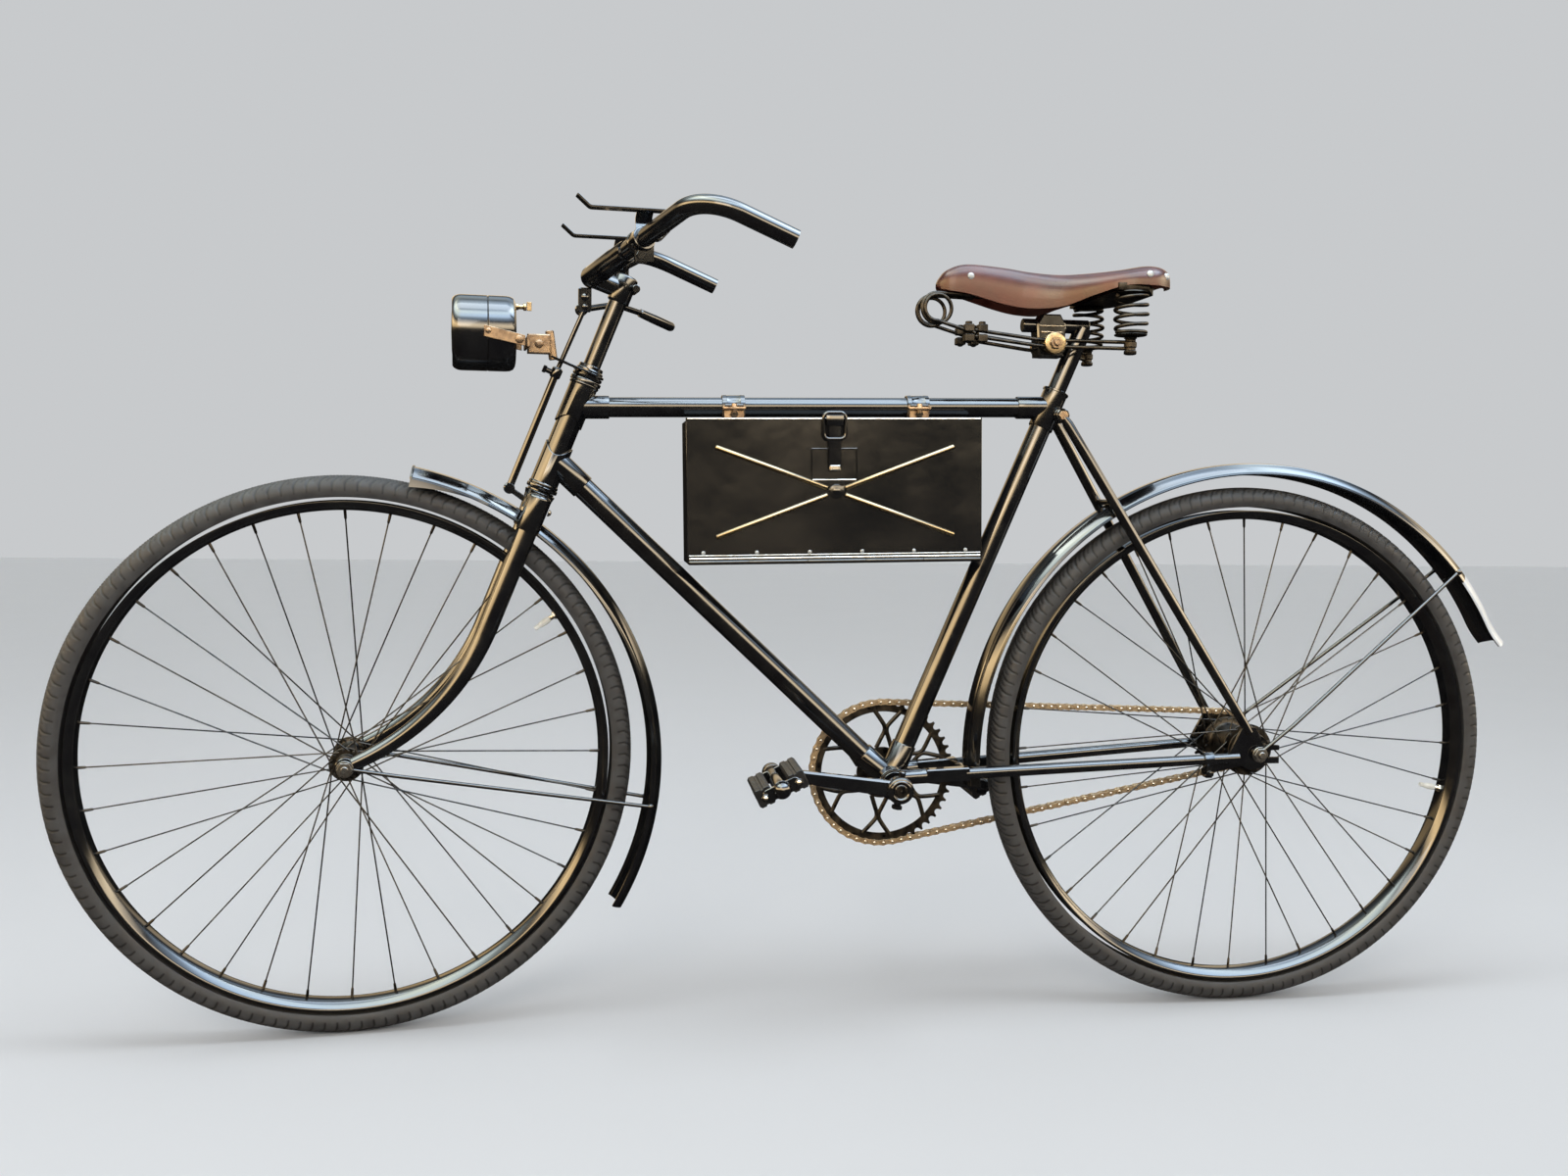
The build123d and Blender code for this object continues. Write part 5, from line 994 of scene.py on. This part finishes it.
def saddle():
    rings = []
    for x, half, crown, skirt in spline(SADDLE_STATIONS, 8):
        thick = min(4.6, half * 0.4, (crown - skirt) * 0.4)
        line = saddle_line(half, crown, skirt) + saddle_line(half, crown, skirt, thick)[::-1]
        rings.append([Vector((x, y, z)) for y, z in line])
    piece("saddle_hide", Form().rings(rings), "frame", "leather", "saddle_leather", 60)
    rivets = Form()
    for x, y, z, back in ((398, 23.0, 979, 0), (186, 97.6, 977, 0), (160, 87.1, 976, 0.35)):
        rivets.dome(Vector((x, y, z)), Vector((-back, 1, 0.2)), 4.6, 1.8, 24)
    rivets.mirrored().dome(Vector((141.5, 0, 976)), Vector((-1, 0, 0.2)), 4.6, 1.8, 24)
    piece("saddle_rivets", rivets, "frame", "rivet_grey")


def saddle_wires():
    """Nose coils, the block that gathers the wires, and two wires a side back to the coils' feet."""
    path = [Vector((385, 14, 955.6))]
    for k in range(73):
        a = radians(90 - 360 * NOSE_TURNS * k / 72)
        radius = 20.4 - 4 * k / 72
        path.append(Vector((440 + radius * cos(a), 14 + 6.5 * k / 72, 937 + radius * sin(a))))
    form = Form().tube([*path, WIRE_BLOCK], 2.5, 14)
    for lift in (UP * 4, UP * -4):
        middle = SADDLE_BOLT + LEFT * 26 + lift
        corners = [WIRE_BLOCK + lift, middle + AHEAD * 17, middle - AHEAD * 17, SPRING_FOOT + lift]
        form.tube(rounded(corners, [120.0, 80.0], 6), 2.5, 14)
    rows = [(-12, 6), (-11, 8), (-7, 8), (-6.4, 6.6), (-3, 6.6), (-2.4, 8), (4, 8), (4.6, 6.6), (8, 6.6),
            (9, 8.4), (12, 7)]
    form.lathe(SPRING_FOOT, UP, rows, 32).mirrored().box(Vector((385, 0, 958)), AHEAD, LEFT, (30, 38, 5), 0.8)
    piece("saddle_wires", form, "frame", "dark_steel", "saddle_frame")
    blocks = Form()
    for ahead in (9, -9):
        centre = WIRE_BLOCK + AHEAD * ahead
        for rise in (UP * 6.5, UP * -6.5):
            blocks.box(centre + rise, AHEAD, LEFT, (12, 13, 10), 1.2)
        blocks.prism(centre + UP * 11, UP, 4.6, 4.0).dome(centre - UP * 11, -UP, 4.2, 2.6)
    blocks.mirrored().box(WIRE_BLOCK * Vector((1, 0, 1)), AHEAD, LEFT, (10, 30, 14), 1.0)
    piece("wire_blocks", blocks, "frame", "dark_steel")


def saddle_coils():
    """Barrel springs whose first and last half turns lie flat in their cups."""
    steps, rising = 32, COIL_TURNS * 32
    centre = Vector((SPRING_FOOT.x, SPRING_FOOT.y, 0))
    path = []
    for k in range(rising + steps + 1):
        a = 2 * pi * k / steps
        level = min(max(k - steps // 2, 0), rising) / rising
        radius = 20.5 - 3.5 * abs(level - 0.5)
        path.append(centre + Vector((radius * cos(a), radius * sin(a), COIL_LOW + COIL_RISE * level)))
    form = Form().tube(path, 2.4, 14)
    form.lathe(centre + UP * 901, UP, [(0, 20), (1.8, 21)], 36)
    form.lathe(centre + UP * 955, UP, [(0, 21), (1.9, 20)], 36)
    piece("saddle_springs", form.mirrored(), "frame", "dark_steel", "saddle_coils")


def saddle_clamp():
    outline = [(-17, -16), (17, -16), (20, 25.5), (12, 39.5), (-12, 39.5), (-20, 25.5)]
    form = Form().slab(outline, SADDLE_BOLT, AHEAD, UP, 30, 2.0)
    piece("clamp_body", form, "frame", "black_enamel", "saddle_clamp")
    washers = Form().lathe(SADDLE_BOLT, LEFT, [(15, 13), (23.4, 14)], 40)
    rows = [(28.6, 13.6), (29.4, 14.4), (31.6, 14.4), (32.4, 13.4), (32.6, 8.0)]
    washers.lathe(SADDLE_BOLT, LEFT, rows, 48, 0.3)
    piece("clamp_washers", washers.mirrored(), "frame", "brass")
    nuts = Form().prism(SADDLE_BOLT + LEFT * 32, LEFT, 8.2, 5.4)
    nuts.rod(SADDLE_BOLT + LEFT * 36, SADDLE_BOLT + LEFT * 41, 4.2, 0.8)
    piece("clamp_nuts", nuts.mirrored(), "frame", "tan_steel")
    edges = Form()
    for x1, x2, z in ((267, 303, 919), (270, 300, 911)):
        edges.rod(Vector((x1, 15, z)), Vector((x2, 15, z)), 1.4, 0.4, 12)
    piece("clamp_edges", edges.mirrored(), "frame", "bare_steel")


# Case
def case_door():
    """The crossed ribs in gold metal as a painted highlight, their boss, bright steel rods as painted
    highlights along the door's edges, a recess round the latch and a row of rivets.
    """
    ribs = Form()
    for ahead in (1, -1):
        for rise in (1, -1):
            start, end = (in_case(ahead * x, DOOR_FACE + 0.2, RIB_MIDDLE_Z + rise * z)
                          for x, z in ((11.0, 4.1), (153.0, 56.5)))
            ribs.rod(start, end, 3.2, 1.4)
    # Painted highlight: the ribs are gold metal in place of the gleam on black enamel.
    piece("door_ribs", ribs, "case_door", "rib_gold_highlight", None, 50)
    boss = Form().dome(in_case(0, DOOR_FACE, RIB_MIDDLE_Z), LEFT, 9.0, 3.6, 32)
    piece("door_boss", boss, "case_door", "black_enamel", None, 50)
    lines, recess = Form(), Form()
    half = CASE_L / 2
    # Painted highlights: bright bare steel rods along the door's top fold, its two hinge lines and the latch
    # recess's lower edge.
    for x1, x2, out, z, radius, ease, sides in (
            (-half, half, -0.5, -17.6, 1.3, 0.4, 16), (-half, half, 0.2, CASE_LOW + 7.6, 1.6, 0.4, 16),
            (-half, half, 0.1, CASE_LOW + 11.6, 0.7, 0.2, 12), (-25.5, 30.5, 0.1, -94.4, 1.2, 0.4, 12)):
        lines.rod(in_case(x1, DOOR_FACE + out, z), in_case(x2, DOOR_FACE + out, z), radius, ease, sides)
    piece("door_highlight_rods", lines, "case_door", "bare_steel")
    places = (-26.5, -95), (-26.5, -55), (31.5, -55), (31.5, -95)
    corners = [in_case(x, DOOR_FACE + 0.1, z) for x, z in places]
    for start, end in zip(corners, corners[1:]):
        recess.rod(start, end, 1.0, 0.3, 12)
    piece("door_recess", recess, "case_door", "black_enamel")
    rivets = Form()
    for k in range(6):
        rivets.dome(in_case(-168 + 67.5 * k, DOOR_FACE, CASE_LOW + 15.0), LEFT, 2.6, 1.8)
    piece("door_rivets", rivets, "case_door", "rivet_grey")


def case():
    refined("case_body", "case_enamel", 0.5)
    refined("case_door", "case_enamel", 0.5)
    case_door()
    refined("case_latch", "black_enamel", 0.8)
    corners = [(2.5, -10), (16.5, -10), (16.5, -43), (-11.5, -43), (-11.5, -10), (2.5, -10)]
    path = rounded([in_case(x, DOOR_FACE + 4.6, z) for x, z in corners], [7.0] * 4, 6)
    piece("latch_loop", Form().tube(path, 2.3, 16), "case_door", "black_enamel")
    tab = Form().box(in_case(2.5, DOOR_FACE + 5.0, -CASE_TOP_DROP - 61), TUBE_DIR, TUBE_UP, (14, 7, 3.6), 1.4)
    piece("latch_tip", tab, "case_door", "bare_steel")
    refined("case_clamps", "tan_steel", 0.5)
    straps, nuts = Form(), Form()
    for x in CASE_CLAMPS_X:
        straps.rod(in_case(x - 12, 16, 1.5), in_case(x + 12, 16, 1.5), 2.2, 0.5, 14)
        nuts.prism(in_case(x, 15.5, -9.5), LEFT, 5.2, 4.6)
        nuts.box(in_case(x, 20.3, -9.5), TUBE_DIR, TUBE_UP, (7.5, 1.6, 1.2), 0.3)
    straps.mirrored()
    arc = [radians(4 + 172 * k / 24) for k in range(25)]
    for x in CASE_CLAMPS_X:
        rings = []
        for along, r in both_ways([(8.5, 15.5), (9, 15.9), (14.3, 15.7), (14.7, 14.9)]):
            line = [(r, a) for a in arc] + [(13.4, a) for a in reversed(arc)]
            rings.append([in_case(x + along, reach * cos(a), reach * sin(a)) for reach, a in line])
        straps.rings(rings)
    piece("clamp_straps", straps, "frame", "black_enamel", None, 40)
    piece("clamp_nuts_low", nuts.mirrored(), "frame", "dark_steel")


# Drive
def pin_places():
    """Each chain pin's place round the loop, evenly spaced."""
    big, small = pitch_radius(CHAINWHEEL_TEETH), pitch_radius(SPROCKET_TEETH)
    dx, dz = REAR_AXLE.x - BRACKET.x, REAR_AXLE.z - BRACKET.z
    base, opening = atan2(dz, dx), acos((big - small) / hypot(dx, dz))
    upper, lower = base - opening, base + opening

    def around(centre, radius, angle):
        return Vector((centre.x + radius * cos(angle), CHAIN_LINE, centre.z + radius * sin(angle)))

    run = (around(BRACKET, big, upper) - around(REAR_AXLE, small, upper)).length
    wraps = big * (2 * pi - (lower - upper)), small * (lower - upper)
    total = 2 * run + sum(wraps)
    count = 2 * round(total / PITCH / 2)
    places = []
    for k in range(count):
        s = total * k / count
        if s < run:
            places.append(around(REAR_AXLE, small, upper).lerp(around(BRACKET, big, upper), s / run))
        elif s < run + wraps[0]:
            places.append(around(BRACKET, big, upper - (s - run) / big))
        elif s < 2 * run + wraps[0]:
            share = (s - run - wraps[0]) / run
            places.append(around(BRACKET, big, lower).lerp(around(REAR_AXLE, small, lower), share))
        else:
            places.append(around(REAR_AXLE, small, lower - (s - 2 * run - wraps[0]) / small))
    return places


def link_outline(length, half, waist):
    """A link plate: round ends and a narrower middle."""
    points = []
    for x, first, y in ((0, 90, -waist), (length, -90, waist)):
        for k in range(9):
            a = radians(first + 180 * k / 8)
            points.append((x + half * cos(a), half * sin(a)))
        points.append((length / 2, y))
    return points


def chain():
    places = pin_places()
    plates, rivets = Form(), Form()
    for k, a in enumerate(places):
        b = places[(k + 1) % len(places)]
        along = (b - a).normalized()
        outline = link_outline((b - a).length, 4.2, 3.3)
        for side in (LEFT, -LEFT):
            middle = a + side * (4.4 if k % 2 == 0 else 3.0)
            plates.slab(outline, middle, along, along.cross(LEFT), 1.1, 0.25)
            rivets.dome(a + side * 4.9, side, 1.9, 0.9, 10)
        plates.rod(a - LEFT * 2.4, a + LEFT * 2.4, 3.8, 0.3, 14)
    piece("chain_links", plates, "frame", "chain_steel", "chain")
    piece("chain_rivets", rivets, "frame", "bare_steel")


def chainwheel():
    centre = BRACKET + LEFT * CHAIN_LINE
    front = max(pin_places(), key=lambda p: p.x)
    phase = degrees(atan2(front.z - BRACKET.z, front.x - BRACKET.x))
    ring = toothed_ring(CHAINWHEEL_TEETH, 84.0, centre, phase)
    piece("chainwheel_ring", ring, "cranks", "dark_steel", "chainwheel")
    spider = Form().lathe(centre - LEFT * 2, LEFT, [(0, 35), (4, 35)], 64, 0.6)
    spider.lathe(centre, LEFT, [(-6, 17), (-4, 21), (4, 21), (8, 17)], 48, 0.6)
    leg = spline([(33, 11.0), (48, 5.0), (56, 1.8), (63, 1.8), (71, 7.0), (85.5, 19)], 3)
    for k in range(6):
        turn = Matrix.Rotation(-radians(60 * k + 29 + phase % (360 / CHAINWHEEL_TEETH)), 3, "Y")
        for sign in (1, -1):
            path = [centre + turn @ Vector((r, 0, sign * w)) for r, w in leg]
            spider.tube(path, 2.1, 16, flat=1.45, across=LEFT)
    piece("chainwheel_spokes", spider, "cranks", "dark_steel")


def crank_centre(side):
    return on_circle(BRACKET, CRANK_LENGTH, CRANK_ANGLE if side == 1 else CRANK_ANGLE + 180)


def cranks():
    spindle = Form().rod(BRACKET - LEFT * 77, BRACKET + LEFT * 77, 8.0)
    piece("spindle_steel", spindle, "cranks", "dark_steel", "spindle")
    for side, name in ((1, "left"), (-1, "right")):
        eye, outwards = crank_centre(side), LEFT * side
        along = (eye - BRACKET).normalized()
        across = along.cross(LEFT)
        form = Form().lathe(BRACKET, outwards, [(58, 16.5), (59, 17.5), (73, 17.5), (75, 16.2)], 48, 0.8)
        form.lathe(eye, outwards, [(58, 11.2), (58.8, 12), (70.2, 12), (71, 11.2)], 40, 0.6)
        outline = [(8, 10.5), (CRANK_LENGTH - 6, 7.5), (CRANK_LENGTH - 6, -7.5), (8, -10.5)]
        form.slab(outline, BRACKET + outwards * 64.5, along, across, 12, 2.4)
        cotter = BRACKET + outwards * 66 + across * 4
        form.rod(cotter - across * 24, cotter + across * 20, 4.6, 1.0)
        form.prism(cotter - across * 24, -across, 7.0, 5.0)
        piece("crank_arm_" + name, form, "cranks", "black_enamel", "crank_" + name)
        rows = [(74.5, 14.5), (75.6, 14.2), (76.7, 13.0), (77.0, 11.6), (76.4, 10.3), (75.3, 9.6),
                (75.3, 8.2), (76.4, 7.5), (77.1, 6.3), (76.6, 5.0), (75.7, 4.4), (75.7, 3.4),
                (76.6, 2.6), (77.2, 0.1)]
        cap = Form().lathe(BRACKET, outwards, rows, 48, 0)
        piece("crank_cap_" + name, cap, "cranks", "black_enamel", None, 60)


def pedal_rubbers(centre, outwards, along, rise):
    """Two grooved blocks, each a row of ribs."""
    blocks = Form()
    length = (PEDAL_OUT - PEDAL_IN - 6) / BLOCK_RIBS
    corners = and_back([(12, 2), (13.5, 3), (13.5, 9), (10.5, 12), (3, 12), (2, 10.4), (-2, 10.4), (-3, 12),
                        (-10.5, 12), (-13.5, 9)])
    for off in (BLOCK_OFF, -BLOCK_OFF):
        rings = []
        for k in range(BLOCK_RIBS):
            start = PEDAL_IN + 3 + length * k
            for y, slim, low in ((start + 0.4, 0.94, 0.93), (start + 1.2, 1, 1), (start + length - 1.2, 1, 1),
                                 (start + length - 0.4, 0.94, 0.93)):
                at = centre + outwards * y + along * off
                rings.append([at + along * (x * BLOCK_SLIM * slim) + rise * (z * 0.95 * low)
                              for x, z in corners])
        blocks.rings(rings)
    return blocks


def pedals():
    tilt = Matrix.Rotation(radians(PEDAL_TILT), 3, "Y")
    along, rise = tilt @ AHEAD, tilt @ UP
    turns = [2 * pi * k / 28 for k in range(28)]
    end_plate = [(8 * cos(a) + (17 if cos(a) > 0 else -17), 8 * sin(a)) for a in turns]
    for side, name in ((1, "left"), (-1, "right")):
        body, centre, outwards = "pedal_" + name, crank_centre(side), LEFT * side
        form = Form().rod(centre + outwards * 59, centre + outwards * (PEDAL_IN + 2), 6.4)
        rows = [(PEDAL_IN, 8), (PEDAL_IN + 1, 9), (PEDAL_OUT - 1, 9), (PEDAL_OUT, 8.4)]
        form.lathe(centre, outwards, rows, 32)
        for y in (PEDAL_IN + 1.5, PEDAL_OUT - 1.5):
            form.slab(end_plate, centre + outwards * y, along, rise, 3.0, 0.5)
        bolts = Form()
        for off in (along * BLOCK_OFF, along * -BLOCK_OFF):
            for y in (PEDAL_IN - 1, PEDAL_OUT + 0.6):
                form.prism(centre + outwards * y + off, outwards, 5.0, 3.0)
            bolts.dome(centre + outwards * (PEDAL_OUT + 3.6) + off, outwards, 3.2, 2.2)
        piece(body + "_cage", form, body, "black_enamel", "pedal_frame_" + name)
        rows = [(PEDAL_OUT + out, r) for out, r in ((0, 11.0), (1.6, 11.4), (2.6, 10.6), (5.4, 10.2),
                                                    (8.4, 8.2), (10.4, 5.0), (11.2, 0.1))]
        cap = Form().lathe(centre, outwards, rows, 36, 0)
        piece(body + "_cap", cap, body, "black_enamel", None, 50)
        piece(body + "_bolts", bolts, body, "bare_steel")
        rubbers = pedal_rubbers(centre, outwards, along, rise)
        piece(body + "_rubbers", rubbers, body, "rubber", "pedal_blocks_" + name)


def rear_ends_and_nuts():
    refined("rear_ends", "black_enamel", 0.6)
    refined("brake_arm", "black_enamel", 0.6)
    refined("saddle_cantle", "dark_steel", 0.8)
    for node, axle, y, t in (("rear_axle", REAR_AXLE, 67.2, 5.0), ("front_axle", FRONT_AXLE, 57.7, 4.5)):
        form = Form().prism(axle + LEFT * (y + 1.2), LEFT, 9.5, t - 1.2)
        form.lathe(axle + LEFT * y, LEFT, [(0, 10.5), (1.4, 10.5)], 36).mirrored()
        form.rod(axle - LEFT * (y + t + 3.5), axle + LEFT * (y + t + 3.5), 4.7, 0.8)
        piece(node + "_nuts", form, BODY_OF[node], "nut_steel", node)


wheels()
main_tubes()
head_lugs()
bracket_shell()
stays()
seat_lug_and_pillar()
guards()
fork()
steering_parts()
handlebar()
bar_rests()
brake_parts()
lamp()
saddle()
saddle_wires()
saddle_coils()
saddle_clamp()
case()
chain()
chainwheel()
cranks()
pedals()
rear_ends_and_nuts()


# Floor, light and camera
def place(name, data, location=(0, 0, 0), turn=(0, 0, 0)):
    """An object in the scene."""
    made = bpy.data.objects.new(name, data)
    made.location = location
    made.rotation_euler = turn
    bpy.context.scene.collection.objects.link(made)
    return made


def floor():
    mesh = bpy.data.meshes.new("floor")
    z, reach = -SADDLE_TOP.z * 0.001, FLOOR_REACH
    mesh.from_pydata([(-reach, -reach, z), (reach, -reach, z), (reach, reach, z), (-reach, reach, z)], [],
                     [(0, 1, 2, 3)])
    mesh.materials.append(material("pale_floor", (0.750, 0.754, 0.758), (0.756, 0.760, 0.764), 0.85, 0.05,
                                   scale=3, bump=0.0, specular=0.05))
    made = place("floor", mesh)
    made.visible_glossy = False


def softbox(name, location, size, power, colour):
    data = bpy.data.lights.new(name, "AREA")
    data.shape = "RECTANGLE"
    data.size, data.size_y = size
    data.energy = power
    data.color = colour
    place(name, data, location, (LIGHT_TARGET - Vector(location)).to_track_quat("-Z", "Y").to_euler())


def world():
    """A plain pale surround for the eye and for dull surfaces, and a dusky sky for what gloss mirrors."""
    made = bpy.data.worlds.new("studio")
    bpy.context.scene.world = made
    made.use_nodes = True
    tree = made.node_tree
    plain = fill(tree, tree.nodes["Background"], {"Color": (0.80, 0.82, 0.84, 1), "Strength": 0.72})
    direction = add(tree, "TexCoord").outputs["Generated"]
    split = add(tree, "SeparateXYZ", {"Vector": direction}).outputs
    height = add(tree, "MapRange", {"From Min": -1.0, "Value": split["Z"]})
    ramp = add(tree, "ValToRGB", {"Fac": height.outputs["Result"]})
    ramp.color_ramp.interpolation = "EASE"
    elements = ramp.color_ramp.elements
    while len(elements) < len(SKY):
        elements.new(0.5)
    for element, (position, colour) in zip(elements, SKY):
        element.position = position
        element.color = (*colour, 1)
    ahead = add(tree, "MapRange", {"From Min": -0.10, "From Max": 0.35, "Value": split["X"]})
    warm = add(tree, "Mix", {"A": ramp.outputs["Color"], "B": (1.12, 0.98, 0.74, 1),
                             "Factor": ahead.outputs["Result"]}, data_type="RGBA", blend_type="MULTIPLY")
    facing = add(tree, "MapRange", {"From Min": -0.40, "From Max": -0.05, "To Min": 1.6, "To Max": 13.0,
                                    "Value": split["Y"]})
    sky = add(tree, "Background", {"Color": warm.outputs["Result"], "Strength": facing.outputs["Result"]})
    join = add(tree, "MixShader", {"Fac": add(tree, "LightPath").outputs["Is Glossy Ray"],
                                   1: plain.outputs["Background"], 2: sky.outputs["Background"]})
    fill(tree, tree.nodes["World Output"], {"Surface": join.outputs["Shader"]})


def camera():
    data = bpy.data.cameras.new("camera")
    data.sensor_width = SENSOR_W
    data.lens = CAMERA_FOCUS_PX * SENSOR_W / PHOTO_W
    data.clip_start, data.clip_end = 0.05, 100
    bpy.context.scene.camera = place("camera", data, CAMERA_PLACE, [radians(a) for a in CAMERA_TURN])


floor()
world()
softbox("sky_panel", (0.3, 0.4, 2.4), (3.4, 1.0), 45, (0.86, 0.93, 1.0))
softbox("side_panel", (1.4, 3.0, 1.2), (1.6, 1.2), 30, (1.0, 0.95, 0.88))
camera()
bpy.context.scene.view_settings.view_transform = "Standard"
